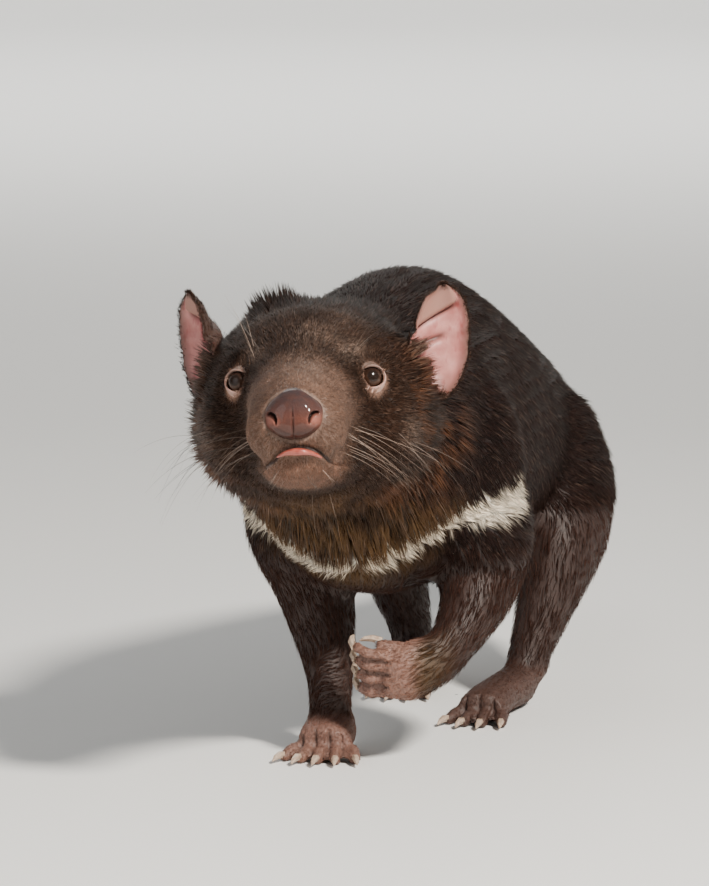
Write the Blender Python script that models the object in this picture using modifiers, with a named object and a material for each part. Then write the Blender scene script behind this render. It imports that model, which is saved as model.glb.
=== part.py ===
"""A life-size still model of a Tasmanian devil, walking, with its left forepaw lifted.

Metres, +Z up. The animal walks towards -Y, its left side is at +X, and its feet stand on Z = 0.
The flesh is lofted from named sections, fused, thinned and parted along joint surfaces. Ears, eyes,
nose and claws are pieces of their own that meet it across a narrow gap.
"""

import math

import bmesh
import bpy
import numpy as np
from mathutils import Matrix, Vector
from mathutils.bvhtree import BVHTree

GAP = 0.0003
WELD = 0.00002

# Fusing and thinning of the flesh.
VOXEL = 0.0024
BLEND_STEPS = 15
FLESH_TRIANGLES = 5200
RING_POINTS = 40
LOFT_STEPS = 4
FORWARD = Vector((0, -1, 0))
UPWARD = Vector((0, 0, 1))

# The head's own frame stands midway between the eyes, and its face looks along its -Y.
HEAD_PLACE = Vector((-0.008, -0.262, 0.213))
HEAD_YAW = math.radians(9.0)  # towards the animal's left
HEAD_PITCH = math.radians(7.0)  # nose up
HEAD_ROLL = math.radians(2.4)  # left side up
HEAD = (
    Matrix.Translation(HEAD_PLACE)
    @ Matrix.Rotation(HEAD_YAW, 4, "Z")
    @ Matrix.Rotation(-HEAD_PITCH, 4, "X")
    @ Matrix.Rotation(-HEAD_ROLL, 4, "Y")
)

# Neck and trunk: y, x of the spine, height of the widest line, half width, rise, drop.
TRUNK = (
    (-0.250, -0.013, 0.200, 0.042, 0.040, 0.040),
    (-0.215, -0.012, 0.192, 0.054, 0.054, 0.056),
    (-0.186, -0.009, 0.176, 0.059, 0.070, 0.068),
    (-0.160, -0.006, 0.166, 0.064, 0.084, 0.075),
    (-0.125, -0.005, 0.160, 0.066, 0.0945, 0.076),
    (-0.085, -0.004, 0.156, 0.064, 0.1010, 0.073),
    (-0.040, -0.002, 0.150, 0.061, 0.1025, 0.065),
    (0.000, 0.000, 0.144, 0.059, 0.0985, 0.058),
    (0.050, 0.000, 0.137, 0.058, 0.0915, 0.051),
    (0.100, 0.000, 0.130, 0.057, 0.0825, 0.044),
    (0.150, 0.000, 0.126, 0.053, 0.0690, 0.038),
    (0.190, 0.000, 0.124, 0.046, 0.0540, 0.032),
    (0.214, 0.000, 0.123, 0.034, 0.0370, 0.025),
    (0.230, 0.000, 0.122, 0.018, 0.0180, 0.014),
)
TRUNK_SQUARENESS = 1.95

# Legs from the body down: x, y, z, half width, half depth.
RIGHT_FORELEG = (
    (-0.046, -0.120, 0.165, 0.0120, 0.0160),
    (-0.054, -0.120, 0.145, 0.0240, 0.0330),
    (-0.050, -0.116, 0.115, 0.0265, 0.0340),
    (-0.043, -0.112, 0.088, 0.0225, 0.0290),
    (-0.036, -0.118, 0.064, 0.0185, 0.0215),
    (-0.030, -0.128, 0.042, 0.0142, 0.0160),
    (-0.028, -0.134, 0.022, 0.0128, 0.0140),
)
LEFT_FORELEG = (
    (0.040, -0.118, 0.168, 0.0120, 0.0160),
    (0.047, -0.118, 0.148, 0.0250, 0.0330),
    (0.049, -0.114, 0.118, 0.0290, 0.0340),
    (0.0485, -0.114, 0.095, 0.0240, 0.0280),
    (0.0465, -0.132, 0.077, 0.0180, 0.0190),
    (0.0405, -0.152, 0.0614, 0.0130, 0.0140),
)
LEFT_HIND_LEG = (
    (0.032, 0.140, 0.155, 0.0120, 0.0200),
    (0.042, 0.126, 0.133, 0.0270, 0.0460),
    (0.049, 0.100, 0.106, 0.0275, 0.0430),
    (0.0525, 0.075, 0.082, 0.0240, 0.0340),
    (0.0480, 0.061, 0.058, 0.0190, 0.0245),
    (0.0430, 0.050, 0.036, 0.0150, 0.0175),
    (0.0385, 0.041, 0.016, 0.0125, 0.0140),
)
RIGHT_HIND_LEG = (
    (-0.032, 0.140, 0.155, 0.0120, 0.0200),
    (-0.042, 0.126, 0.133, 0.0270, 0.0460),
    (-0.050, 0.108, 0.106, 0.0275, 0.0430),
    (-0.051, 0.098, 0.082, 0.0235, 0.0330),
    (-0.048, 0.102, 0.058, 0.0185, 0.0240),
    (-0.044, 0.110, 0.036, 0.0150, 0.0175),
    (-0.041, 0.114, 0.016, 0.0125, 0.0140),
)

# Paws from wrist or heel to the knuckles: x, y, z, half width, half height.
RIGHT_FOREPAW = (
    (-0.0285, -0.120, 0.0115, 0.0115, 0.0125),
    (-0.0275, -0.136, 0.0120, 0.0145, 0.0135),
    (-0.0270, -0.149, 0.0100, 0.0155, 0.0110),
    (-0.0265, -0.157, 0.0085, 0.0145, 0.0090),
)
LEFT_FOREPAW = (
    (0.0440, -0.144, 0.0670, 0.0120, 0.0140),
    (0.0360, -0.154, 0.0570, 0.0120, 0.0155),
    (0.0240, -0.162, 0.0510, 0.0115, 0.0170),
    (0.0130, -0.166, 0.0500, 0.0095, 0.0150),
    (0.0090, -0.167, 0.0505, 0.0075, 0.0125),
)
LEFT_HINDFOOT = (
    (0.0380, 0.042, 0.0130, 0.0105, 0.0135),
    (0.0360, 0.025, 0.0125, 0.0125, 0.0130),
    (0.0325, 0.003, 0.0110, 0.0130, 0.0115),
    (0.0305, -0.018, 0.0095, 0.0145, 0.0105),
    (0.0295, -0.030, 0.0085, 0.0140, 0.0090),
)
RIGHT_HINDFOOT = (
    (-0.0405, 0.117, 0.0130, 0.0105, 0.0135),
    (-0.0390, 0.100, 0.0125, 0.0125, 0.0130),
    (-0.0360, 0.078, 0.0110, 0.0130, 0.0115),
    (-0.0340, 0.057, 0.0095, 0.0145, 0.0105),
    (-0.0330, 0.045, 0.0085, 0.0140, 0.0090),
)

# Tail from the rump to its tip: x, y, z, half width, half height.
TAIL = (
    (0.000, 0.196, 0.130, 0.0270, 0.0270),
    (-0.002, 0.226, 0.124, 0.0250, 0.0250),
    (-0.006, 0.262, 0.117, 0.0230, 0.0235),
    (-0.012, 0.310, 0.108, 0.0200, 0.0210),
    (-0.021, 0.370, 0.101, 0.0160, 0.0170),
    (-0.029, 0.425, 0.101, 0.0105, 0.0115),
    (-0.034, 0.462, 0.105, 0.0040, 0.0045),
)

# Skull and muzzle in the head's frame: y, height of the widest line, half width, rise, drop.
SKULL = (
    (0.095, -0.012, 0.046, 0.0440, 0.0460),
    (0.065, -0.014, 0.055, 0.0530, 0.0520),
    (0.035, -0.015, 0.0585, 0.0555, 0.0520),
    (0.012, -0.014, 0.0500, 0.0510, 0.0480),
    (-0.004, -0.012, 0.0385, 0.0425, 0.0400),
    (-0.018, -0.012, 0.0305, 0.0330, 0.0330),
    (-0.034, -0.014, 0.0265, 0.0265, 0.0270),
    (-0.050, -0.016, 0.0240, 0.0195, 0.0240),
    (-0.062, -0.018, 0.0200, 0.0145, 0.0190),
    (-0.070, -0.0185, 0.0140, 0.0100, 0.0130),
)
JAW = (
    (0.040, -0.036, 0.0380, 0.0200, 0.0220),
    (0.010, -0.040, 0.0320, 0.0150, 0.0180),
    (-0.018, -0.0415, 0.0245, 0.0120, 0.0145),
    (-0.040, -0.0425, 0.0190, 0.0100, 0.0115),
    (-0.056, -0.0415, 0.0150, 0.0085, 0.0102),
    (-0.0650, -0.0400, 0.0095, 0.0055, 0.0070),
)
HEAD_SQUARENESS = 2.1
# Masses on the left of the head, mirrored to the right: place and radii.
CHEEK = ((0.0345, 0.034, -0.022), (0.0260, 0.0380, 0.0320))
WHISKER_PAD = ((0.0125, -0.0555, -0.0250), (0.0135, 0.0160, 0.0150))
BROW = ((0.0230, 0.005, 0.0140), (0.0130, 0.0130, 0.0100))

# Masses on the body: place and radii.
LEFT_SHOULDER = ((0.045, -0.115, 0.150), (0.0280, 0.0450, 0.0550))
RIGHT_SHOULDER = ((-0.051, -0.124, 0.140), (0.0285, 0.0430, 0.0550))
LEFT_HAUNCH = ((0.040, 0.122, 0.122), (0.0290, 0.0560, 0.0500))
RIGHT_HAUNCH = ((-0.040, 0.122, 0.122), (0.0290, 0.0560, 0.0500))

# Eyeballs: the left one's place in the head's frame, and its lids' opening.
EYE_RADIUS = 0.0068
EYE_PLACE = Vector((0.0322, -0.0038, -0.0003))
EYE_AXIS = Vector((0.42, -0.89, 0.16))
LID_THICKNESS = 0.0018
LID_OPENING = (0.0055, 0.0049)  # half width, half height
LID_REACHES = (0.0, 0.006, 0.016)

# Nose pad: rows down its front: y, height, half width, rise and drop, in the head's frame.
NOSE = (
    (-0.0560, 0, -0.0150, 0.0105, 0.0095, 0.0100),
    (-0.0625, 0, -0.0152, 0.0130, 0.0118, 0.0120),
    (-0.0690, 0, -0.0160, 0.0133, 0.0115, 0.0125),
    (-0.0735, 0, -0.0168, 0.0112, 0.0092, 0.0108),
    (-0.0760, 0, -0.0172, 0.0070, 0.0055, 0.0070),
)
NOSE_SQUARENESS = 2.2
PHILTRUM = (
    (0, -0.0778, -0.0130, 0.0005, 0.0014),
    (0, -0.0780, -0.0180, 0.0005, 0.0014),
    (0, -0.0760, -0.0230, 0.0005, 0.0014),
    (0, -0.0725, -0.0280, 0.0005, 0.0014),
)
# One nostril: a comma that starts near the front and curls out to the side; place and half width.
NOSTRIL = (
    (0.0055, -0.0800, -0.0185, 0.0009, 0.0009),
    (0.0068, -0.0765, -0.0165, 0.0018, 0.0020),
    (0.0088, -0.0735, -0.0160, 0.0021, 0.0022),
    (0.0112, -0.0722, -0.0178, 0.0014, 0.0014),
    (0.0132, -0.0725, -0.0200, 0.0007, 0.0007),
)
# Line of the mouth on the left, from below the nose to the corner: x, y, z in the head's frame.
MOUTH = (
    (0.0000, -0.0735, -0.0335),
    (0.0080, -0.0715, -0.0350),
    (0.0150, -0.0640, -0.0390),
    (0.0215, -0.0480, -0.0420),
    (0.0275, -0.0290, -0.0415),
    (0.0325, -0.0140, -0.0395),
)
LINE_STEPS = 3
MOUTH_GROOVE = 0.0012
LIP_RADIUS = 0.0019
LIP_DROP = 0.0024
LIP_LIFT = -0.0004
LIP_POINTS = 4

# Ears in the head's frame: the left one's foot, its height and half width, and how far it turns out.
LEFT_EAR_FOOT = Vector((0.0590, 0.0440, -0.0130))
RIGHT_EAR_FOOT = Vector((-0.0540, 0.0440, -0.0130))
EAR_HEIGHT = 0.0600
EAR_HALF_WIDTH = 0.0180
EAR_CUP = 0.0100
EAR_CUP_FOOT = 0.12
EAR_CUP_POWER = 0.7
EAR_BROADEST = 0.42
EAR_FOOT_WIDTH = 0.02
EAR_TIP_WIDTH = 0.05
EAR_TAPER = 2.4
EAR_TAPER_POWER = 0.6
EAR_THICKNESS = 0.0022
EAR_LEAN = math.radians(7.0)
LEFT_EAR_TURN = math.radians(34.0)
RIGHT_EAR_TURN = math.radians(56.0)
EAR_ROWS = 12
EAR_COLUMNS = 8

# Toes: each point's share of the length and its height over the root, then the radii at those points.
TOE_LENGTH = 0.0165
TOE_STAGGER = 0.0045
TOE_LINE = ((0, 0.0005), (0.42, 0.0006), (0.78, -0.0016), (1, -0.0030))
TOE_RADII = (0.0043, 0.0042, 0.0038, 0.0025)
LIFTED_TOES = 4
LIFTED_SPREAD = 0.0108
LIFTED_FAN = 0.10
LIFTED_LENGTH = 0.0185
LIFTED_RADII = (0.0036, 0.0036, 0.0034, 0.0022)
LIFTED_SHARES = (0.60, 0.20, 0.26)  # root to knuckle, round the bend, bend to tip
LIFTED_ACROSS = Vector((0, -0.38, 0.92))
LIFTED_HEADING = Vector((-0.98, -0.10, 0.02))
LIFTED_CURL = Vector((-0.36, 0.84, 0.40))
THUMB_ROOT = (0.0190, -0.1640, 0.0630)
THUMB_HEADING = Vector((-0.985, -0.12, 0.12))
THUMB_LENGTH = 0.0150
THUMB_SHARES = (0, 0.4, 0.75, 1)
CLAW_LENGTH = 0.0115
CLAW_SHARES = (-0.30, 0.15, 0.50, 0.74)
CLAW_ARCH = (0.0020, 0.0027, 0.0019, 0.0004)
CLAW_RADII = (0.0021, 0.0020, 0.0014, 0.0004)

# Parting of the flesh. A plane is a point on it and the side that the piece lies on.
HEAD_PLANE = (HEAD @ Vector((0, 0.060, -0.006)), HEAD.to_3x3() @ Vector((0, -0.94, 0.34)))
NECK_PLANE = ((0, -0.150, 0.195), (0, -0.82, 0.57))
TAIL_PLANE = ((0, 0.229, 0.123), (0, 0.97, -0.24))
TAIL_TIP_PLANE = ((-0.014, 0.325, 0.106), (-0.16, 0.98, -0.10))
BLOCK = 0.6

# How each leg is parted: the ellipsoid rooms of the leg and of its paw, as place and radii; the planes
# of the knee or elbow and of the wrist or heel; and its toes, as the arguments of their function.
LEGS = (
    {
        "upper": "right_upper_foreleg",
        "lower": "right_lower_foreleg",
        "paw": "right_forepaw",
        "room": ((-0.046, -0.130, 0.060), (0.042, 0.072, 0.096)),
        "joint": ((-0.040, -0.114, 0.076), (0, -0.10, -1)),
        "wrist": ((-0.028, -0.134, 0.0240), (0, 0, -1)),
        "standing": ((-0.0265, -0.1545, 0.0044), 0.0, 0.0140, 5, 0.36),
    },
    {
        "upper": "left_upper_foreleg",
        "lower": "left_lower_foreleg",
        "paw": "left_forepaw",
        "room": ((0.050, -0.125, 0.086), (0.037, 0.056, 0.074)),
        "joint": ((0.0475, -0.120, 0.087), (0, -0.40, -0.92)),
        "paw_room": ((0.0110, -0.166, 0.0500), (0.036, 0.034, 0.034)),
        "lifted": ((0.0120, -0.1670, 0.0495),),
    },
    {
        "upper": "left_thigh",
        "lower": "left_shank",
        "paw": "left_hindfoot",
        "paw_room": ((0.034, 0.000, -0.003), (0.030, 0.075, 0.030)),
        "room": ((0.049, 0.100, 0.062), (0.041, 0.085, 0.102)),
        "joint": ((0.052, 0.072, 0.076), (-0.10, -0.10, -1)),
        "standing": ((0.0293, -0.0280, 0.0044), -0.10, 0.0118, 4, 0.24),
    },
    {
        "upper": "right_thigh",
        "lower": "right_shank",
        "paw": "right_hindfoot",
        "paw_room": ((-0.037, 0.075, -0.003), (0.030, 0.075, 0.030)),
        "room": ((-0.049, 0.112, 0.062), (0.041, 0.085, 0.102)),
        "joint": ((-0.051, 0.098, 0.076), (0.10, -0.10, -1)),
        "standing": ((-0.0328, 0.0470, 0.0044), 0.10, 0.0118, 4, 0.24),
    },
)

# Colour and roughness of each material, and the words in a node's name that ask for it.
LOOKS = {
    "dark_fur": ((0.030, 0.024, 0.022), 0.80),
    "face_fur": ((0.085, 0.056, 0.040), 0.80),
    "leg_fur": ((0.060, 0.036, 0.028), 0.80),
    "ear_skin": ((0.560, 0.260, 0.235), 0.55),
    "paw_skin": ((0.420, 0.240, 0.190), 0.60),
    "nose_skin": ((0.090, 0.036, 0.030), 0.25),
    "eye": ((0.040, 0.020, 0.012), 0.05),
    "claw_horn": ((0.500, 0.400, 0.300), 0.40),
}
LOOK_WORDS = (
    ("claw", "claw_horn"),
    ("paw", "paw_skin"),
    ("hindfoot", "leg_fur"),
    ("eye", "eye"),
    ("_ear", "ear_skin"),
    ("nose", "nose_skin"),
    ("head", "face_fur"),
    ("leg", "leg_fur"),
    ("shank", "leg_fur"),
)
SHARP_ANGLE = math.radians(40)


def smooth_rows(rows, steps):
    """The rows of numbers, with others set between them along a smooth curve."""
    table = np.array(rows, float)
    ends = (2 * table[0] - table[1], 2 * table[-1] - table[-2])
    padded = np.vstack((ends[0], table, ends[1]))
    found = []
    for index in range(len(table) - 1):
        before, start, end, after = padded[index : index + 4]
        for t in np.arange(steps) / steps:
            cubic = (3 * start - before - 3 * end + after) * t**3
            square = (2 * before - 5 * start + 4 * end - after) * t**2
            found.append(0.5 * (2 * start + (end - before) * t + square + cubic))
    found.append(table[-1])
    return np.array(found)


def ring(center, side, up, half_width, rise, drop, squareness, count=RING_POINTS):
    """One closed section: a rounded oval with its own height above and below the widest line."""
    angle = np.arange(count) * 2 * math.pi / count
    across = np.sign(np.cos(angle)) * np.abs(np.cos(angle)) ** (2 / squareness)
    height = np.sign(np.sin(angle)) * np.abs(np.sin(angle)) ** (2 / squareness)
    reach = np.where(height > 0, rise, drop)
    offsets = np.outer(across * half_width, side) + np.outer(height * reach, up)
    return np.array(center) + offsets


def loft(name, rings):
    """A closed mesh through the rings, with both ends capped."""
    bm = bmesh.new()
    loops = [[bm.verts.new(point) for point in points] for points in rings]
    for low, high in zip(loops, loops[1:]):
        for index in range(len(low)):
            after = (index + 1) % len(low)
            bm.faces.new((low[index], low[after], high[after], high[index]))
    bm.faces.new(loops[0])
    bm.faces.new(loops[-1])
    bmesh.ops.recalc_face_normals(bm, faces=bm.faces)
    return to_object(name, bm)


def to_object(name, bm):
    mesh = bpy.data.meshes.new(name)
    bm.to_mesh(mesh)
    bm.free()
    obj = bpy.data.objects.new(name, mesh)
    bpy.context.scene.collection.objects.link(obj)
    return obj


def upright_loft(name, rows, squareness, steps=LOFT_STEPS, count=RING_POINTS):
    """A loft through upright sections along Y: y, x, height of the widest line, half width, rise, drop."""
    side, up = Vector((1, 0, 0)), Vector((0, 0, 1))
    rings = []
    for y, x, z, half_width, rise, drop in smooth_rows(rows, steps):
        section = ring((x, y, z), side, up, half_width, rise, drop, squareness, count)
        rings.append(section)
    return loft(name, rings)


def limb(name, rows, hint, steps=LOFT_STEPS, count=RING_POINTS):
    """A loft along a bent path: x, y, z, half width, half height. The height lies towards the hint."""
    table = smooth_rows(rows, steps)
    paths = np.gradient(table[:, :3], axis=0)
    rings = []
    for row, path in zip(table, paths):
        along = Vector(path).normalized()
        up = (hint - hint.dot(along) * along).normalized()
        side = along.cross(up)
        rings.append(ring(row[:3], side, up, row[3], row[4], row[4], 2.0, count))
    return loft(name, rings)


def ball(name, place, radii, detail=3):
    bm = bmesh.new()
    bmesh.ops.create_icosphere(bm, subdivisions=detail, radius=1.0)
    bmesh.ops.scale(bm, vec=radii, verts=bm.verts)
    bmesh.ops.translate(bm, vec=place, verts=bm.verts)
    return to_object(name, bm)


def mirrored(place):
    return (-place[0], place[1], place[2])


def remove(obj):
    mesh = obj.data
    bpy.data.objects.remove(obj)
    bpy.data.meshes.remove(mesh)


def apply_modifiers(obj):
    graph = bpy.context.evaluated_depsgraph_get()
    mesh = bpy.data.meshes.new_from_object(obj.evaluated_get(graph))
    old = obj.data
    obj.modifiers.clear()
    obj.data = mesh
    bpy.data.meshes.remove(old)


def joined(name, pieces):
    """All the pieces in one mesh, still as loose shells."""
    bm = bmesh.new()
    for piece in pieces:
        bm.from_mesh(piece.data)
        remove(piece)
    return to_object(name, bm)


def fused_flesh(pieces):
    """The pieces grown into one smooth skin of even facets."""
    flesh = joined("flesh", pieces)
    remesh = flesh.modifiers.new("Fuse", "REMESH")
    remesh.mode = "VOXEL"
    remesh.voxel_size = VOXEL
    smooth = flesh.modifiers.new("Blend", "SMOOTH")
    smooth.factor = 0.5
    smooth.iterations = BLEND_STEPS
    apply_modifiers(flesh)
    return flesh


def head_masses():
    pieces = []
    skull = [(y, 0, z, half_width, rise, drop) for y, z, half_width, rise, drop in SKULL]
    jaw = [(y, 0, z, half_width, rise, drop) for y, z, half_width, rise, drop in JAW]
    pieces.append(upright_loft("skull", skull, HEAD_SQUARENESS))
    pieces.append(upright_loft("jaw", jaw, HEAD_SQUARENESS))
    for place, radii in (CHEEK, WHISKER_PAD, BROW):
        pieces.append(ball("mass", place, radii))
        pieces.append(ball("mass", mirrored(place), radii))
    for piece in pieces:
        piece.data.transform(HEAD)
    return pieces


def body_masses():
    pieces = [upright_loft("trunk", TRUNK, TRUNK_SQUARENESS)]
    for leg in (RIGHT_FORELEG, LEFT_FORELEG, LEFT_HIND_LEG, RIGHT_HIND_LEG):
        pieces.append(limb("leg", leg, FORWARD))
    for paw in (RIGHT_FOREPAW, LEFT_FOREPAW, LEFT_HINDFOOT, RIGHT_HINDFOOT):
        pieces.append(limb("paw", paw, UPWARD))
    pieces.append(limb("tail", TAIL, UPWARD))
    for place, radii in (LEFT_SHOULDER, RIGHT_SHOULDER, LEFT_HAUNCH, RIGHT_HAUNCH):
        pieces.append(ball("mass", place, radii))
    return pieces


def clear_scene():
    for obj in list(bpy.data.objects):
        bpy.data.objects.remove(obj)


def combine(target, others, operation, solver="EXACT"):
    """One Boolean of the target with a collection of closed meshes, applied, the others then removed."""
    group = bpy.data.collections.new("operands")
    bpy.context.scene.collection.children.link(group)
    for other in others:
        group.objects.link(other)
    modifier = target.modifiers.new(operation, "BOOLEAN")
    modifier.operation = operation
    modifier.operand_type = "COLLECTION"
    modifier.collection = group
    modifier.solver = solver
    apply_modifiers(target)
    for other in others:
        remove(other)
    bpy.data.collections.remove(group)
    return keep_largest(target)


def copy_of(obj, name):
    copy = bpy.data.objects.new(name, obj.data.copy())
    bpy.context.scene.collection.objects.link(copy)
    return copy


def keep_largest(obj):
    """Leaves the largest closed surface of the mesh, with no sliver edges."""
    bm = bmesh.new()
    bm.from_mesh(obj.data)
    bmesh.ops.remove_doubles(bm, verts=bm.verts, dist=WELD)
    bmesh.ops.dissolve_degenerate(bm, edges=bm.edges, dist=WELD)
    islands, seen = [], set()
    for start in bm.verts:
        if start in seen:
            continue
        island, waiting = [], [start]
        seen.add(start)
        while waiting:
            vert = waiting.pop()
            island.append(vert)
            for edge in vert.link_edges:
                other = edge.other_vert(vert)
                if other not in seen:
                    seen.add(other)
                    waiting.append(other)
        islands.append(island)
    islands.sort(key=extent)
    for island in islands[:-1]:
        bmesh.ops.delete(bm, geom=island, context="VERTS")
    bm.to_mesh(obj.data)
    bm.free()
    return obj


def extent(verts):
    points = np.array([vert.co for vert in verts])
    return float(np.prod(np.ptp(points, axis=0) + WELD))


def grown(obj, distance):
    """A copy of the mesh with its surface moved outwards."""
    copy = copy_of(obj, "grown")
    bm = bmesh.new()
    bm.from_mesh(copy.data)
    bm.normal_update()
    normals = [vert.normal * vert.calc_shell_factor() for vert in bm.verts]
    for vert, normal in zip(bm.verts, normals):
        vert.co += normal * distance
    bm.to_mesh(copy.data)
    bm.free()
    return copy


def thinned(obj, triangles):
    modifier = obj.modifiers.new("Thin", "DECIMATE")
    modifier.ratio = triangles / (2 * len(obj.data.polygons))
    modifier.use_collapse_triangulate = True
    apply_modifiers(obj)
    return obj


def half_space(point, normal):
    """A large block with one face through the point, lying on the side that the normal shows."""
    turn = Vector(normal).to_track_quat("Z", "Y").to_matrix().to_4x4()
    bm = bmesh.new()
    bmesh.ops.create_cube(bm, size=BLOCK)
    bmesh.ops.translate(bm, vec=(0, 0, BLOCK / 2), verts=bm.verts)
    bm.transform(Matrix.Translation(Vector(point)) @ turn)
    return to_object("block", bm)


def part_off(body, name, volume):
    """Takes the piece of the body inside the volume, with a gap left round it."""
    piece = copy_of(body, name)
    combine(body, [grown(volume, GAP)], "DIFFERENCE")
    combine(piece, [volume], "INTERSECT")
    return piece


def surface_of(obj):
    bm = bmesh.new()
    bm.from_mesh(obj.data)
    tree = BVHTree.FromBMesh(bm)
    bm.free()
    return tree


def along_surface(tree, points, lift=0.0):
    """A smooth line through the points, moved onto the surface and then out from it by the lift."""
    found = []
    for point in smooth_rows(points, LINE_STEPS):
        place, normal, _, _ = tree.find_nearest(HEAD @ Vector(point))
        found.append(place + normal * lift)
    return found


def both_sides(points):
    left = [Vector(point) for point in points]
    right = [Vector(mirrored(point)) for point in points[:0:-1]]
    return right + left


def eye_parts(side):
    """Place, and the direction that the eye looks in, in the head's frame."""
    place = Vector((EYE_PLACE.x * side, EYE_PLACE.y, EYE_PLACE.z))
    axis = Vector((EYE_AXIS.x * side, EYE_AXIS.y, EYE_AXIS.z)).normalized()
    return place, axis


def eyeball(name, side, extra=0.0):
    place, _ = eye_parts(side)
    radius = EYE_RADIUS + extra
    obj = ball(name, place, (radius, radius, radius), detail=3)
    obj.data.transform(HEAD)
    return obj


def lid_window(side):
    place, axis = eye_parts(side)
    width, height = LID_OPENING
    rows = [(*(place + axis * reach), width, height) for reach in LID_REACHES]
    window = limb("window", rows, UPWARD, steps=1, count=20)
    window.data.transform(HEAD)
    return window


def nose_pad(name):
    rows = [(y, x, z, half_width, rise, drop) for y, x, z, half_width, rise, drop in NOSE]
    pad = upright_loft(name, rows, NOSE_SQUARENESS, steps=2, count=20)
    pad.data.transform(HEAD)
    return pad


def nostrils():
    pieces = []
    for side in (1, -1):
        rows = [(x * side, y, z, width, height) for x, y, z, width, height in NOSTRIL]
        pieces.append(limb("nostril", rows, UPWARD, steps=1, count=8))
    pieces.append(limb("groove", PHILTRUM, FORWARD, steps=1, count=6))
    for piece in pieces:
        piece.data.transform(HEAD)
    return pieces


def finish_head(head):
    """Adds the lids and the lower lip to the head, then sinks the eyes, the mouth and the nose in it."""
    tree = surface_of(head)
    added = [eyeball("lids", side, LID_THICKNESS) for side in (1, -1)]
    below = [Vector(point) - Vector((0, 0, LIP_DROP)) for point in MOUTH[:LIP_POINTS]]
    lip = along_surface(tree, both_sides(below), LIP_LIFT)
    lip_rows = [(*point, LIP_RADIUS, LIP_RADIUS) for point in lip]
    added.append(limb("lip", lip_rows, UPWARD, steps=1, count=8))
    combine(head, added, "UNION")
    line = along_surface(tree, both_sides(MOUTH))
    line_rows = [(*point, MOUTH_GROOVE, MOUTH_GROOVE) for point in line]
    removed = [limb("mouth", line_rows, UPWARD, steps=1, count=6)]
    for side in (1, -1):
        removed.append(eyeball("socket", side, GAP))
        removed.append(lid_window(side))
    pad = nose_pad("pad")
    removed.append(grown(pad, GAP))
    remove(pad)
    return combine(head, removed, "DIFFERENCE")


def ear(name, side, foot, turn):
    """A cupped shell: rows up from its foot, columns across, with its edges bent forwards."""
    up = Vector((math.sin(EAR_LEAN) * side, 0, math.cos(EAR_LEAN)))
    across = Vector((math.cos(turn) * side, math.sin(turn), 0))
    behind = up.cross(across) * side
    points = []
    for rise in (1 - np.cos(np.linspace(0, math.pi, EAR_ROWS))) / 2:
        width = EAR_HALF_WIDTH * ear_outline(rise)
        depth = EAR_CUP * math.sin(math.pi * (EAR_CUP_FOOT + (1 - EAR_CUP_FOOT) * rise)) ** EAR_CUP_POWER
        for share in np.linspace(-1, 1, EAR_COLUMNS):
            bowl = behind * (depth * (1 - share * share))
            point = foot + up * (rise * EAR_HEIGHT) + across * (share * width) + bowl
            points.append(HEAD @ point)
    bm = bmesh.new()
    verts = [bm.verts.new(point) for point in points]
    for row in range(EAR_ROWS - 1):
        for column in range(EAR_COLUMNS - 1):
            start = row * EAR_COLUMNS + column
            corners = (start, start + 1, start + 1 + EAR_COLUMNS, start + EAR_COLUMNS)
            bm.faces.new([verts[index] for index in corners])
    obj = to_object(name, bm)
    shell = obj.modifiers.new("Shell", "SOLIDIFY")
    shell.thickness = EAR_THICKNESS
    shell.offset = 0
    apply_modifiers(obj)
    return outward(obj)


def ear_outline(rise):
    """Half width of the ear at this share of its height: a rounded foot, broad below, blunt at the tip."""
    if rise < EAR_BROADEST:
        return math.sqrt(1 - (1 - EAR_FOOT_WIDTH) * (1 - rise / EAR_BROADEST) ** 2)
    taper = (rise - EAR_BROADEST) / (1 - EAR_BROADEST)
    return max(EAR_TIP_WIDTH, 1 - taper**EAR_TAPER) ** EAR_TAPER_POWER


def outward(obj):
    bm = bmesh.new()
    bm.from_mesh(obj.data)
    bmesh.ops.recalc_face_normals(bm, faces=bm.faces)
    bm.to_mesh(obj.data)
    bm.free()
    return obj


def clear_of(obj, neighbour):
    """Cuts the neighbour's room out of the piece, with a gap."""
    return combine(obj, [grown(neighbour, GAP)], "DIFFERENCE")


def digit(name, points, radii, count=8):
    rows = [(*point, radius, radius) for point, radius in zip(points, radii)]
    return limb(name, rows, UPWARD, steps=1, count=count)


def standing_toes(knuckles, heading, half_width, count, fan):
    """Toes fanned out from the knuckles along the floor: each one's points from root to tip."""
    forward = Vector((math.sin(heading), -math.cos(heading), 0))
    across = Vector((math.cos(heading), math.sin(heading), 0))
    found = []
    for index in range(count):
        share = 2 * index / (count - 1) - 1
        turn = Matrix.Rotation(fan * share, 3, "Z")
        along = turn @ forward
        back = TOE_STAGGER * share * share
        root = Vector(knuckles) + across * (share * half_width) - forward * back
        points = [root + along * (reach * TOE_LENGTH) + UPWARD * rise for reach, rise in TOE_LINE]
        found.append((points, along))
    return found


def lifted_toes(knuckles):
    """Toes of the lifted paw, one above another, bent back towards the palm."""
    found = []
    straight, bent, last = [share * LIFTED_LENGTH for share in LIFTED_SHARES]
    for index in range(LIFTED_TOES):
        share = 2 * index / (LIFTED_TOES - 1) - 1
        root = Vector(knuckles) + LIFTED_ACROSS * (share * LIFTED_SPREAD)
        heading = LIFTED_HEADING + LIFTED_ACROSS * (share * LIFTED_FAN)
        knee = root + heading * straight
        bend = knee + (heading + LIFTED_CURL) * bent
        tip = bend + LIFTED_CURL * last
        found.append(([root, knee, bend, tip], LIFTED_CURL))
    thumb = Vector(THUMB_ROOT)
    points = [thumb + THUMB_HEADING * (share * THUMB_LENGTH) for share in THUMB_SHARES]
    found.append((points, THUMB_HEADING))
    return found


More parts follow.
